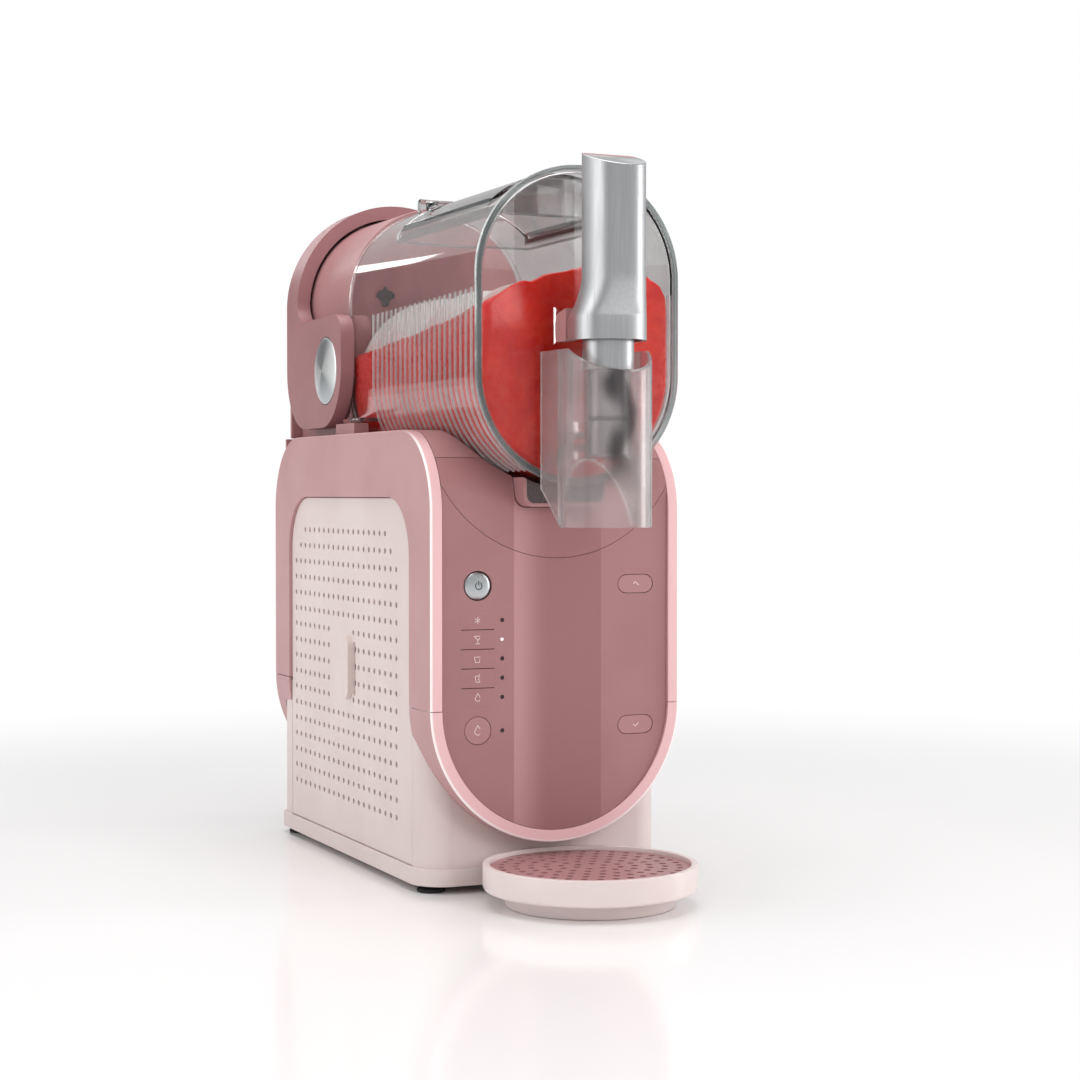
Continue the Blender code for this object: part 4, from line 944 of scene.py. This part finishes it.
def buildControls():
    kx, c = controls["keyX"], controls
    tops = [171.77, 160.3, 148.6, 137.0, 125.3]  # a dark joint is left between neighbours
    lows = [160.75, 149.05, 137.45, 125.75, 114.13]
    for name, z, top, low in zip(keyMarks, c["keyZ"], tops, lows):
        key = block(name + "_cap", kx - 10.5, kx + 10.5, -102, -92, low, top)
        plan = [(x, wingY(x)) for x in (kx - 12, kx + 12)]
        keepInside(key, pushed("face", plan + [(kx + 12, -93.7), (kx - 12, -93.7)], "Z", 100, 180))
        dress(key, name, rosePanel, (name,), smooth=20, weighted=False)
        dress(flatMark(name + "_symbol", keyMarks[name], kx, z), name, paleInk, weighted=False)
    kx, y = controls["keyX"], wingY(controls["keyX"])
    dome = [(0, y - 1.6), (2.5, y - 1.53), (4.8, y - 1.28), (6.6, y - 0.78), (7.8, y - 0.1),
            (8.4, y + 0.6), (8.6, y + 1.4), (8.6, y + 5.0), (0, y + 5.0)]
    button = turned("power_dome", dome, "Y", kx, controls["powerZ"], 64)
    dress(button, "power_button", chromeDome, ("power_button",), smooth=35)
    sign = ringMark(2.35, 0.5, -235, 55, 36) + [stroke(0, 0.4, 0, 2.9, 0.5)]
    mark = merge([pushed("mark", [(kx + a, controls["powerZ"] + b) for a, b in quad], "Y",
                         y - 1.75, y - 1.2) for quad in sign], "power_symbol")
    dress(mark, "power_button", blackHousing, weighted=False)
    refined("rinse_button", "rinse_button", rosePlain, 0.25)
    drop = [[(a, b - 0.6) for a, b in quad] for quad in ringMark(2.2, 0.45, 130, 410)]
    drop += [stroke(-1.42, 1.05, 0, 3.2, 0.45), stroke(1.42, 1.05, 0, 3.2, 0.45)]
    dress(flatMark("rinse_symbol", drop, kx, controls["rinseZ"]), "rinse_button", paleInk,
          weighted=False)
    for name, z, way in (("temperature_up_button", controls["tempZ"][0], 1),
                         ("temperature_down_button", controls["tempZ"][1], -1)):
        refined(name, name, rosePlain, 0.25)
        chevron = [stroke(side * 2.4, -1.0 * way, 0, 1.2 * way, 0.5) for side in (-1, 1)]
        dress(flatMark(name + "_symbol", chevron, controls["tempX"], z), name, paleInk,
              weighted=False)
    coated("status_light_guide", statusLamp)


buildControls()
print("controls built")


# tower, bail handle

tower = {"front": 100.0, "half": 63.5, "up": 374.0, "pivotY": 118.0, "pivotZ": 325.6,
         "bailIn": 65.6, "bailOut": 75.0}


def buildTower():
    t = tower
    outer = [(-t["half"], 281.4), (t["half"], 281.4)] + arcPoints(0, t["up"], t["half"], 0, 180, 80)
    r = t["half"] - 3
    inner = [(-r, 270), (r, 270)] + arcPoints(0, t["up"], r, 0, 180, 80)
    body = pushed("tower_shell", outer, "Y", t["front"], 204.6)
    for s in (-1, 1):
        fuse(body, bar("boss", "X", t["pivotY"], t["pivotZ"], 17, *sorted((s * 58.0, s * 65.2))))
    hollow = pushed("hollow", inner, "Y", t["front"] + 3, 215)
    for s in (-1, 1):
        carve(hollow, bar("keep", "X", t["pivotY"], t["pivotZ"], 12, *sorted((s * 55, s * 70))))
    carve(body, hollow, bar("shaft", "Y", 0, axisZ, 9, 90, 110),
          bar("line", "Y", 22, axisZ, 5, 90, 110, 24),
          *[bar("pin", "X", t["pivotY"], t["pivotZ"], 5.3, *sorted((s * 50, s * 70)), 32)
            for s in (-1, 1)])
    soften(body, 0.8, 3, 50)
    dress(body, "machine", roseShadedCopy, ("tower_housing",))
    leaf = roundCorners([(-8.2, 0.4, 2.2), (-3.6, -1.8, 0), (-2.0, -6.4, 1.2), (2.0, -6.4, 1.2),
                         (3.6, -1.8, 0), (8.2, 0.4, 2.2), (4.6, 4.6, 2.0), (1.8, 5.2, 0),
                         (0.0, 8.6, 0.9), (-1.8, 5.2, 0), (-4.6, 4.6, 2.0)], 5)
    # a flat grey ring on the tower face round the drum; it darkens the band seen above the auger core
    seal = turned("drum_dark_ring", [(46.5, 98.7), (55.5, 98.7), (57, 99.3), (57, 99.95),
                                     (46.5, 99.95)], "Y", 0, axisZ, 72)
    dress(seal, "machine", sealRubber, weighted=False)
    mark = pushed("tower_latch_mark", [(x - 36.6, z + 375.6) for x, z in leaf], "Y", 99.55, 99.95)
    dress(mark, "machine", smokeAndShade, weighted=False)
    outline = [(-71.5, 281.6), (71.5, 281.6)] + arcPoints(0, t["up"], 71.5, 0, 180, 80)
    back = pushed("tower_back_shell", outline, "Y", 205.0, 208.0)
    soften(back, 0.8, 3, 50)
    dress(back, "machine", roseShadedCopy, ("tower_back_cover",))
    arch = (arcPoints(0, t["up"], t["bailOut"], 0, 180, 80)
            + arcPoints(0, t["up"], t["bailIn"], 180, 0, 80))
    ear = roundCorners([(86, 287, 40), (204, 287, 42), (204, t["up"], 0), (180, t["up"], 0),
                        (180, 361.8, 16), (86, 363, 14)], 16)
    bail = pushed("bail_shell", arch, "Y", 180, 204)
    for s in (-1, 1):
        fuse(bail, pushed("ear", ear, "X", *sorted((s * t["bailIn"], s * t["bailOut"]))))
    for s in (-1, 1):
        carve(bail, bar("seat", "X", t["pivotY"], t["pivotZ"], 23.3, *sorted((s * 73, s * 80)), 72),
              bar("hole", "X", t["pivotY"], t["pivotZ"], 5.3, *sorted((s * 60, s * 71.8)), 32))
    outside = lambda p: math.hypot(p.y - t["pivotY"], p.z - t["pivotZ"]) > 24.5
    soften(bail, 1.3, 4, 50, outside)
    dress(bail, "bail", roseBailShaded, ("bail_handle",))
    for side, s in (("left", -1), ("right", 1)):
        dome = [(0, s * 73.3), (22.8, s * 73.3), (22.8, s * 75.0)]
        dome += [(22.8 * math.sin(a), s * (75.0 + 2.8 * math.cos(a) ** 1.2))
                 for a in [math.pi / 2 * (1 - i / 14) for i in range(1, 15)]][:-1] + [(0, s * 77.8)]
        cap = turned(f"bail_disc_{side}", dome, "X", t["pivotY"], t["pivotZ"], 96)
        dress(cap, "bail", spunCap, (f"bail_cap_{side}",), smooth=40)


buildTower()
print("tower built")


# cold drum and auger

augerSize = {"innerR": 40.5, "coreR": 46.0, "outerR": 60.3, "start": 84.0, "end": -74.0,
             "turns": 2.5, "thick": 4.6, "root": 1.0, "steps": 260}


def helixTree():
    a = augerSize
    sizes = {"Inner Radius": (a["coreR"] - a["root"]) * mm, "Outer Radius": a["outerR"] * mm,
             "Start": a["start"] * mm, "End": a["end"] * mm, "Turns": a["turns"],
             "Axis Height": axisZ * mm, "Steps": a["steps"], "Material": whiteScraper}
    tree, sock, out = newGeoTree("augerBlade", sizes)
    grid = put(tree, "GeometryNodeMeshGrid", {"Size X": 1.0, "Size Y": 1.0, "Vertices Y": 5,
                                              "Vertices X": sock["Steps"]})
    place = put(tree, "GeometryNodeInputPosition")
    where = put(tree, "ShaderNodeSeparateXYZ", {0: place}).outputs
    u = put(tree, "ShaderNodeMath", {"operation": "ADD", 0: where["X"], 1: 0.5})
    v = put(tree, "ShaderNodeMath", {"operation": "ADD", 0: where["Y"], 1: 0.5})
    turns = put(tree, "ShaderNodeMath", {"operation": "MULTIPLY", 0: u, 1: sock["Turns"]})
    turn = put(tree, "ShaderNodeMath", {"operation": "MULTIPLY", 0: turns, 1: 2 * math.pi})
    ways = []
    for share, first, last in ((v, "Inner Radius", "Outer Radius"), (u, "Start", "End")):
        span = put(tree, "ShaderNodeMath", {"operation": "SUBTRACT", 0: sock[last],
                                            1: sock[first]})
        ways.append(put(tree, "ShaderNodeMath", {"operation": "MULTIPLY_ADD", 0: share, 1: span,
                                                 2: sock[first]}))
    radius, along = ways
    cosine = put(tree, "ShaderNodeMath", {"operation": "COSINE", 0: turn})
    sine = put(tree, "ShaderNodeMath", {"operation": "SINE", 0: turn})
    across = put(tree, "ShaderNodeMath", {"operation": "MULTIPLY", 0: radius, 1: cosine})
    height = put(tree, "ShaderNodeMath", {"operation": "MULTIPLY_ADD", 0: radius, 1: sine,
                                          2: sock["Axis Height"]})
    spot = put(tree, "ShaderNodeCombineXYZ", {"X": across, "Y": along, "Z": height})
    wound = put(tree, "GeometryNodeSetPosition", {"Geometry": grid, "Position": spot})
    return endTree(tree, wound, sock, out)


def buildAuger():
    a = augerSize
    blade = linked("blade", bpy.data.meshes.new("blade"))
    runTree(blade, helixTree(), {"Material": whiteScraper})
    wall = blade.modifiers.new("thickness", "SOLIDIFY")
    wall.thickness, wall.offset = a["thick"] * mm, 0.0
    bake(blade)
    core = turned("core", [(a["innerR"], 89), (a["outerR"], 89), (a["outerR"], 83),
                           (a["coreR"] + 1.5, 81), (a["coreR"], 78), (a["coreR"], -78.6),
                           (a["innerR"], -78.6)], "Y", 0, axisZ, 96)
    hub = turned("hub", [(0, -92), (10, -92), (13, -90.5), (14, -87), (14, -78.5), (5.3, -78.5),
                         (5.3, -88.3), (0, -88.3)], "Y", 0, axisZ, 48)
    parts = [blade, core, hub]
    for turn, low, high, wide in ((20, 11, 44, 5), (140, 11, 44, 5), (260, 11, 44, 5), (-40, 41, 60, 4.5)):
        arm = block("arm", low, high, -90.5 if low > 20 else -85.6, -77.5, -wide, wide)
        soften(arm, 1.6, 3, 50)
        arm.data.transform(Matrix.Translation((0, 0, axisZ * mm))
                           @ Matrix.Rotation(math.radians(turn), 4, "Y"))
        parts.append(arm)
    dress(merge(parts, "auger_screw"), "auger", whiteScraper, ("auger",), smooth=45,
          weighted=False)
    profile = [(38, 99.7), (38, -66), (37.2, -69.5), (35, -72.5), (28, -75), (5.6, -75), (5.6, -72),
               (27, -72), (33.5, -69.5), (36, -64.5), (36, 99.7)]
    dress(turned("drum_shell", profile, "Y", 0, axisZ, 96), "machine", drumSteel,
          ("evaporator_drum",), smooth=40)


buildAuger()
print("auger built")


# clear bowl with ribs, lid and frozen drink

bowlSize = {"half": 64.5, "up": 370.5, "front": -130.0, "rear": 98.0, "wall": 2.5,
            "ribCount": 21, "ribPitch": 8.4, "ribStart": 49.0, "ribIn": 64.35, "ribOut": 65.8, "ribWide": 1.0,
            "ribLowTop": 359.0, "ribHighTop": 362.5, "ribModel": 30.0}
lidHinge = {"y": 56.0, "z": 434.0}


def ribTree():
    b = bowlSize
    sizes = {"Count": b["ribCount"], "Pitch": b["ribPitch"] * mm, "Start": b["ribStart"] * mm,
             "Low Top": b["ribLowTop"] * mm, "High Top": b["ribHighTop"] * mm,
             "Axis Height": axisZ * mm, "Model Height": b["ribModel"] * mm, "Material": clearRib}
    tree, sock, out = newGeoTree("bowlRibs", sizes)
    back = put(tree, "ShaderNodeMath", {"operation": "MULTIPLY", 0: sock["Pitch"], 1: -1.0})
    start = put(tree, "ShaderNodeCombineXYZ", {"Y": sock["Start"]})
    step = put(tree, "ShaderNodeCombineXYZ", {"Y": back})
    row = put(tree, "GeometryNodeMeshLine", {"Count": sock["Count"], "Start Location": start,
                                             "Offset": step})
    ribs = put(tree, "GeometryNodeInstanceOnPoints", {"Points": row,
                                                      "Instance": sock["Geometry"]})
    real = put(tree, "GeometryNodeRealizeInstances", {0: ribs})
    place = put(tree, "GeometryNodeInputPosition")
    where = put(tree, "ShaderNodeSeparateXYZ", {0: place}).outputs
    gaps = put(tree, "ShaderNodeMath", {"operation": "SUBTRACT", 0: sock["Count"], 1: 1.0})
    run = put(tree, "ShaderNodeMath", {"operation": "MULTIPLY", 0: gaps, 1: sock["Pitch"]})
    gone = put(tree, "ShaderNodeMath", {"operation": "SUBTRACT", 0: sock["Start"], 1: where["Y"]})
    share = put(tree, "ShaderNodeMath", {"operation": "DIVIDE", 0: gone, 1: run})
    climb = put(tree, "ShaderNodeMath", {"operation": "SUBTRACT", 0: sock["High Top"],
                                         1: sock["Low Top"]})
    top = put(tree, "ShaderNodeMath", {"operation": "MULTIPLY_ADD", 0: share, 1: climb,
                                       2: sock["Low Top"]})
    tall = put(tree, "ShaderNodeMath", {"operation": "SUBTRACT", 0: top, 1: sock["Axis Height"]})
    scale = put(tree, "ShaderNodeMath", {"operation": "DIVIDE", 0: tall,
                                         1: sock["Model Height"]})
    stretch = put(tree, "ShaderNodeMath", {"operation": "SUBTRACT", 0: scale, 1: 1.0})
    above = put(tree, "ShaderNodeMath", {"operation": "SUBTRACT", 0: where["Z"],
                                         1: sock["Axis Height"]})
    rise = put(tree, "ShaderNodeMath", {"operation": "MAXIMUM", 0: above, 1: 0.0})
    lift = put(tree, "ShaderNodeMath", {"operation": "MULTIPLY", 0: rise, 1: stretch})
    shift = put(tree, "ShaderNodeCombineXYZ", {"Z": lift})
    grown = put(tree, "GeometryNodeSetPosition", {"Geometry": real, "Offset": shift})
    return endTree(tree, grown, sock, out)


def buildBowl():
    b = bowlSize
    shell = pushed("bowl_shell", stadium(b["half"], axisZ, b["up"], 48), "Y", -128, b["rear"])
    fuse(shell, pushed("rear", stadium(64.9, axisZ, b["up"], 48), "Y", 94.5, b["rear"]))
    rim = pushed("bowl_rim", stadium(66, axisZ, b["up"], 48), "Y", b["front"], -126)
    carve(rim, pushed("mouth", stadium(62.7, axisZ, b["up"], 48), "Y", -140, -120))
    soften(rim, 1.2, 4, 50, lambda p: p.y < -129)
    dress(rim, "bowl", frostedRim, smooth=40)
    ring = pushed("ring", stadium(70, axisZ, b["up"], 48), "Y", -140, -125.95)
    carve(ring, pushed("mouth", stadium(62.65, axisZ, b["up"], 48), "Y", -150, -110))
    carve(shell, ring)
    inner = pushed("inner", stadium(b["half"] - b["wall"], axisZ, b["up"], 48), "Y", -126.4, 120)
    collar = block("collar", -47.2, 47.2, -119.2, 49.5, 407, 440)
    keepInside(collar, pushed("roof", stadium(b["half"], axisZ, b["up"], 48), "Y", -128, 90))
    carve(inner, collar)
    soften(inner, 1.2, 3, 50, lambda p: p.y < -126)
    carve(shell, inner, block("port", -44.8, 44.8, -116.8, 47.2, 380, 450),
          block("hingeGap", -24.5, 24.5, 46, lidHinge["y"] + 3.8, 426, 450))
    soften(shell, 0.35, 2, 50, lambda p: p.z > 400 and abs(p.x) < 48)
    for s in (-1, 1):
        fin = block("fin", *sorted((s * 59, s * 74)), 50, 84, 289.4, 291.6)
        lug = block("lug", *sorted((s * 24.6, s * 30)), lidHinge["y"] - 3.4, lidHinge["y"] + 3.4,
                    425, lidHinge["z"])
        eye = bar("eye", "X", lidHinge["y"], lidHinge["z"], 3.4, *sorted((s * 24.6, s * 30)), 32)
        stub = bar("stub", "X", lidHinge["y"], lidHinge["z"], 1.5, *sorted((s * 20.6, s * 26)), 20)
        tabs = roundCorners([(-128, 330, 0), (-128, 352, 0), (-143, 347.5, 4), (-154.4, 347, 5),
                             (-154.4, 335, 5), (-143, 334.5, 4)], 6)
        bracket = pushed("bracket", tabs, "X", *sorted((s * 12.4, s * 16.4)))
        fuse(shell, fin, lug, eye, stub, bracket)
    spout = bar("spout", "Z", 0, -168, 13.6, 262, 311.6, 64)
    fuse(spout, block("neck", -9, 9, -160, -128, 262, 284))
    fuse(shell, spout)
    carve(shell, bar("chamber", "Z", 0, -168, 11.5, 250, 320, 64),
          bar("port", "Y", 0, 272.5, 6, -160, -120, 32),
          *[bar("pin", "X", -148, 341, 2.7, *sorted((s * 8, s * 20)), 24) for s in (-1, 1)])
    dress(shell, "bowl", clearBowl, ("bowl",), smooth=40)
    lip = block("collar_lip", -46.8, 46.8, -118.6, 49, 406.0, 407.4)
    carve(lip, block("open", -45.0, 45.0, -117, 47.4, 400, 410))
    dress(lip, "bowl", frostedRim, weighted=False)
    parts = []
    for s in (-1, 1):
        mid, out = [[(s * r, axisZ + b["ribModel"])]
                    + [(s * r * math.cos(math.radians(i * 3.1)), axisZ - r * math.sin(math.radians(i * 3.1)))
                       for i in range(21)] for r in (b["ribIn"], b["ribOut"])]
        parts.append(pushed("rib", mid + out[::-1], "Y", -b["ribWide"] / 2, b["ribWide"] / 2))
    ribs = merge(parts, "bowl_ribs")
    runTree(ribs, ribTree(), {"Material": clearRib})
    dress(ribs, "bowl", clearRib, smooth=30, weighted=False)


def buildLid():
    up, r, hingeY, hingeZ = bowlSize["up"], bowlSize["half"], lidHinge["y"], lidHinge["z"]
    reach = math.degrees(math.asin(44.4 / r))
    roof = (arcPoints(0, up, r, 90 - reach, 90 + reach, 40)
            + arcPoints(0, up, r - 2.4, 90 + reach, 90 - reach, 40))
    lid = pushed("lid_shell", roof, "Y", -99, 46.8)
    for s in (-1, 1):
        fuse(lid, block("side", *sorted((s * 42.2, s * 44.2)), -99, 46.8, 409, 418))
    under = block("front", -44.2, 44.2, -99, -97, 409, 440)
    keepInside(under, pushed("trim", stadium(r - 0.2, axisZ, up, 48), "Y", -120, 60))
    fuse(lid, under, block("strap", -24.2, 24.2, 43, hingeY, 432.2, 434.6),
         bar("barrel", "X", hingeY, hingeZ, 3.2, -24.2, 24.2, 32))
    carve(lid, *[bar("hole", "X", hingeY, hingeZ, 1.8, *sorted((s * 19, s * 30)), 20) for s in (-1, 1)])
    soften(lid, 0.4, 2, 50)
    rails = [block("rail", *sorted((s * 43.0, s * 45.4)), -99, 42, 414.6, 418.4) for s in (-1, 1)]
    for rail in rails:
        soften(rail, 0.6, 2, 50)
    dress(merge(rails, "lid_rails"), "lid", frostedRim, weighted=False)
    dress(lid, "lid", clearLid, ("fill_lid",), smooth=40)


slush = {"gap": 0.5, "front": -125.6, "rear": 91.0, "stations": 60, "across": 36, "seed": 4.7}
slushRidge = [(-62, 350), (-53, 356), (-42, 365), (-32, 369.5), (-21, 372), (-11, 374.5), (4, 380),
              (20, 385), (34, 380), (46, 374), (53, 371.5), (58, 365), (62, 352)]


def slushTop(x, y):
    frontRise = 1 / (1 + math.exp((y + 97) / 11))  # the screw piles the drink against the front
    left = 336 + (77 - y) * 0.075
    level = left + 6 * (1 - (x / 62) ** 2)
    ridge = slushRidge[-1][1]
    for (x0, z0), (x1, z1) in zip(slushRidge, slushRidge[1:]):
        if x <= x1:
            ridge = z0 + (z1 - z0) * max(0, (x - x0) / (x1 - x0))
            break
    lumps = noise.noise(Vector((x * 0.06, y * 0.06, slush["seed"]))) * 3.0
    lumps += noise.noise(Vector((x * 0.19, y * 0.19, slush["seed"] + 9))) * 1.6
    return level + (ridge - level) * frontRise + lumps


def buildSlush():
    r = bowlSize["half"] - bowlSize["wall"] - slush["gap"]
    sections = []
    for i in range(slush["stations"] + 1):
        y = slush["front"] + (slush["rear"] - slush["front"]) * i / slush["stations"]
        pinch = 1 - 0.05 * max(0, 1 - (y - slush["front"]) / 2.5) ** 2
        ring = [(r * pinch * math.cos(a), y, axisZ + r * pinch * math.sin(a))
                for a in [math.radians(180 + 180 * k / 40) for k in range(41)]]
        count = slush["across"]
        for k in range(count + 1):
            x = r * pinch * (1 - 2 * k / count)
            edge = min(1.0, (1 - abs(x) / (r * pinch)) * 9)
            ring.append((x, y, slushTop(x, y) - (1 - edge) ** 2 * 1.5))
        sections.append(ring)
    body = skinned("frozen_drink", sections)
    soften(body, 1.4, 3, 60, lambda p: p.y < slush["front"] + 0.5)
    dress(body, "bowl", strawberrySlush, smooth=70, weighted=False)


buildBowl()
buildLid()
buildSlush()
print("bowl, lid and drink built")


# tap: handle, plunger, splash guard

tap = {"y": -168.0, "pivotY": -148.0, "pivotZ": 341.0, "guardY": -165.0, "guardR": 26.7}


def gripFlare(z):
    return min(1.0, max(0.0, (368 - z) / 25)) ** 2


def slantedTop():
    return pushed("top", [(-230, 417.2), (-120, 452), (-120, 520), (-230, 520)], "X", -60, 60)


def buildTap():
    levels = [330, 336, 343] + [343 + 25 * i / 16 for i in range(1, 17)] + [385, 410, 445]
    sections, plates = [], []
    for z in levels:
        f = gripFlare(z)
        half, mid, deep = 18.4 + 3.6 * f, tap["y"] - 4 + 4 * f, 24.9 - 2 * f
        back = tap["y"] - 3.4 + 12 * f
        ring = [(half * math.cos(math.radians(a)), mid + deep * math.sin(math.radians(a)), z)
                for a in [180 + 180 * i / 48 for i in range(49)]]
        sections.append(ring + [(half, back, z), (-half, back, z)])
        half, back = half - 1.4, back + 0.3
        plates.append([(-half, back, z), (half, back, z), (half, back + 3, z),
                       (half - 3, back + 5, z), (3 - half, back + 5, z), (-half, back + 3, z)])
    shell = skinned("grip_shell", sections)
    carve(shell, bar("skirt", "Z", 0, tap["y"], 19.5, 320, 346, 64),
          bar("throat", "Z", 0, tap["y"], 17.2, 340, 356, 64), slantedTop())
    soften(shell, 0.9, 4, 40, lambda p: p.z > 412)
    soften(shell, 0.45, 3, 55)
    dress(shell, "tap_handle", brushedGrip, ("tap_handle_shell",), smooth=40)
    back = skinned("grip_back", plates)
    lug = roundCorners([(-157, 330, 0), (-143, 330, 4), (-142.5, 341, 5), (-145, 346.5, 4),
                        (-157, 349, 0)], 10)
    for s in (-1, 1):
        fuse(back, pushed("lug", lug, "X", *sorted((s * 17.2, s * 22.0))))
    carve(back, bar("throat", "Z", 0, tap["y"], 17.2, 320, 356, 64),
          block("gap", -17, 17, -175, -130, 320, 356), slantedTop(),
          *[bar("pin", "X", tap["pivotY"], tap["pivotZ"], 2.7, *sorted((s * 15, s * 20.8)), 24)
            for s in (-1, 1)])
    soften(back, 0.6, 3, 40)
    dress(back, "tap_handle", roseShadedCopy, ("tap_handle_back",), smooth=45)
    piston = [(0, 263.5), (10.4, 263.5), (11.2, 264.6), (11.2, 283.5), (9.9, 283.5), (9.9, 286.5),
              (11.2, 286.5), (11.2, 313.0), (14.6, 313.0), (14.9, 313.5), (14.9, 332), (14.5, 332.8),
              (13.9, 333), (0, 333)]
    dress(turned("plunger_rod", piston, "Z", 0, tap["y"], 72), "plunger", brushedGrip,
          ("tap_plunger",), smooth=35)
    g, r = tap["guardY"], tap["guardR"]
    plan = arcPoints(0, g, r, 180, 360, 64) + [(r, -132.2), (-r, -132.2)]
    guard = pushed("splash_guard", plan, "Z", 222.5, 325)
    behind = block("behind", 2 - r, r - 2, g, -120, 200, 340)
    carve(behind, bar("tube", "Z", 0, g, r, 190, 350, 96))
    arch = [(23.5 * math.cos(a), 215 + 47 * math.sin(a)) for a in [math.pi * i / 40 for i in range(41)]]
    carve(guard, bar("inside", "Z", 0, g, r - 2, 200, 340, 96), behind,
          pushed("slant", [(-165, 326), (-220, 295.1), (-220, 340), (-165, 340)], "X", -40, 40),
          pushed("heel", [(-131, 246), (-160, 222), (-160, 210), (-120, 210), (-120, 246)], "X",
                 -40, 40),
          pushed("backArch", arch, "Y", g + 1, -120), block("slot", -10.6, 10.6, -150, -120, 240, 340))
    soften(guard, 0.45, 3, 50)
    dress(guard, "shroud", smokeShield, ("dispense_shroud",), smooth=40)
    # a nearly white bead along the arch, a painted edge highlight
    path = [Vector((23.2 * math.cos(a), g + math.sqrt((r - 1) ** 2 - (23.2 * math.cos(a)) ** 2),
                    215.4 + 46.8 * math.sin(a))) for a in
            [math.radians(10 + 160 * i / 48) for i in range(49)]]
    sections = []
    for i, spot in enumerate(path):
        ahead = (path[min(i + 1, 48)] - path[max(i - 1, 0)]).normalized()
        side = ahead.cross(Vector((0, 1, 0))).normalized()
        up = side.cross(ahead)
        sections.append([spot + (side * math.cos(k * math.pi / 4) + up * math.sin(k * math.pi / 4))
                         * 0.55 for k in range(8)])
    dress(skinned("guard_arch_highlight_bead", sections), "shroud", paintedEdgeHighlight, weighted=False)


buildTap()
print("tap built")


# drip tray with its perforated cover

traySize = {"y": baseSize["trayY"], "r": 63.5, "holeR": 2.2, "ringGap": 8.8, "rings": 6, "perRing": 6}


def drainTree():
    t = traySize
    sizes = {"Hole Radius": t["holeR"] * mm, "Ring Gap": t["ringGap"] * mm, "Centre Y": t["y"] * mm,
             "Height": 21.0 * mm, "Material": rosePlain}
    tree, sock, out = newGeoTree("drainHoles", sizes)
    rings = put(tree, "GeometryNodeJoinGeometry")
    for k in range(1, t["rings"] + 1):
        radius = put(tree, "ShaderNodeMath", {"operation": "MULTIPLY", 0: sock["Ring Gap"],
                                              1: float(k)})
        ring = put(tree, "GeometryNodeMeshCircle", {"Vertices": t["perRing"] * k,
                                                    "Radius": radius})
        fill(rings, {0: ring})
    spot = put(tree, "ShaderNodeCombineXYZ", {"Y": sock["Centre Y"], "Z": sock["Height"]})
    moved = put(tree, "GeometryNodeTransform", {"Geometry": rings, "Translation": spot})
    drill = put(tree, "GeometryNodeMeshCylinder", {"Vertices": 14, "Depth": 12 * mm,
                                                   "Radius": sock["Hole Radius"]})
    drills = put(tree, "GeometryNodeInstanceOnPoints", {"Points": moved, "Instance": drill})
    solid = put(tree, "GeometryNodeRealizeInstances", {0: drills})
    cut = put(tree, "GeometryNodeMeshBoolean", {"operation": "DIFFERENCE", "solver": "EXACT",
                                                0: sock["Geometry"], 1: solid})
    return endTree(tree, cut, sock, out)


def buildTray():
    y, r = traySize["y"], traySize["r"]
    profile = [(0, 0.0), (49.4, 0.0), (50.2, 0.5), (52.2, 6.6), (53, 7.2), (61.2, 9.1), (62.6, 9.9),
               (r, 11.4), (r, 24.0), (r - 0.25, 24.6), (r - 0.8, 24.8), (60.2, 24.8),
               (59.75, 24.6), (59.6, 24.1), (59.6, 19.4), (57.2, 19.4), (57.2, 12.4), (47, 4), (0, 4)]
    dress(turned("tray_body", profile, "Z", 0, y, 160), "tray", creamTrayLit, ("drip_tray",),
          smooth=35)
    cover = bar("tray_grate", "Z", 0, y, 59.2, 19.8, 22.4, 128)
    soften(cover, 0.4, 2, 50)
    runTree(cover, drainTree(), {"Material": rosePlain})
    dress(cover, "tray_cover", rosePlain, ("drip_cover",))


buildTray()
print("tray built")


# machine room and back

inside = {
    "bail_pin_left": plateSteel, "bail_pin_right": plateSteel, "tap_hinge_pin": plateSteel,
    "drum_gasket": sealRubber, "gearbox": castAlloy, "auger_motor": plateSteel,
    "chassis_plate": plateSteel, "compressor": blackHousing, "condenser": castAlloy,
    "fan_frame": blackHousing, "fan_motor": plateSteel, "fan_blades": blackHousing,
    "control_board": greenBoard, "power_board": greenBoard, "refrigerant_line": copperTube,
    "drive_shaft": plateSteel, "plunger_seal": footRubber, "mains_gland": footRubber,
}
for name, material in inside.items():
    coated(name, material)
refined("rear_cover", "machine", roseShadedCopy, 0.35)
print("machine room dressed")
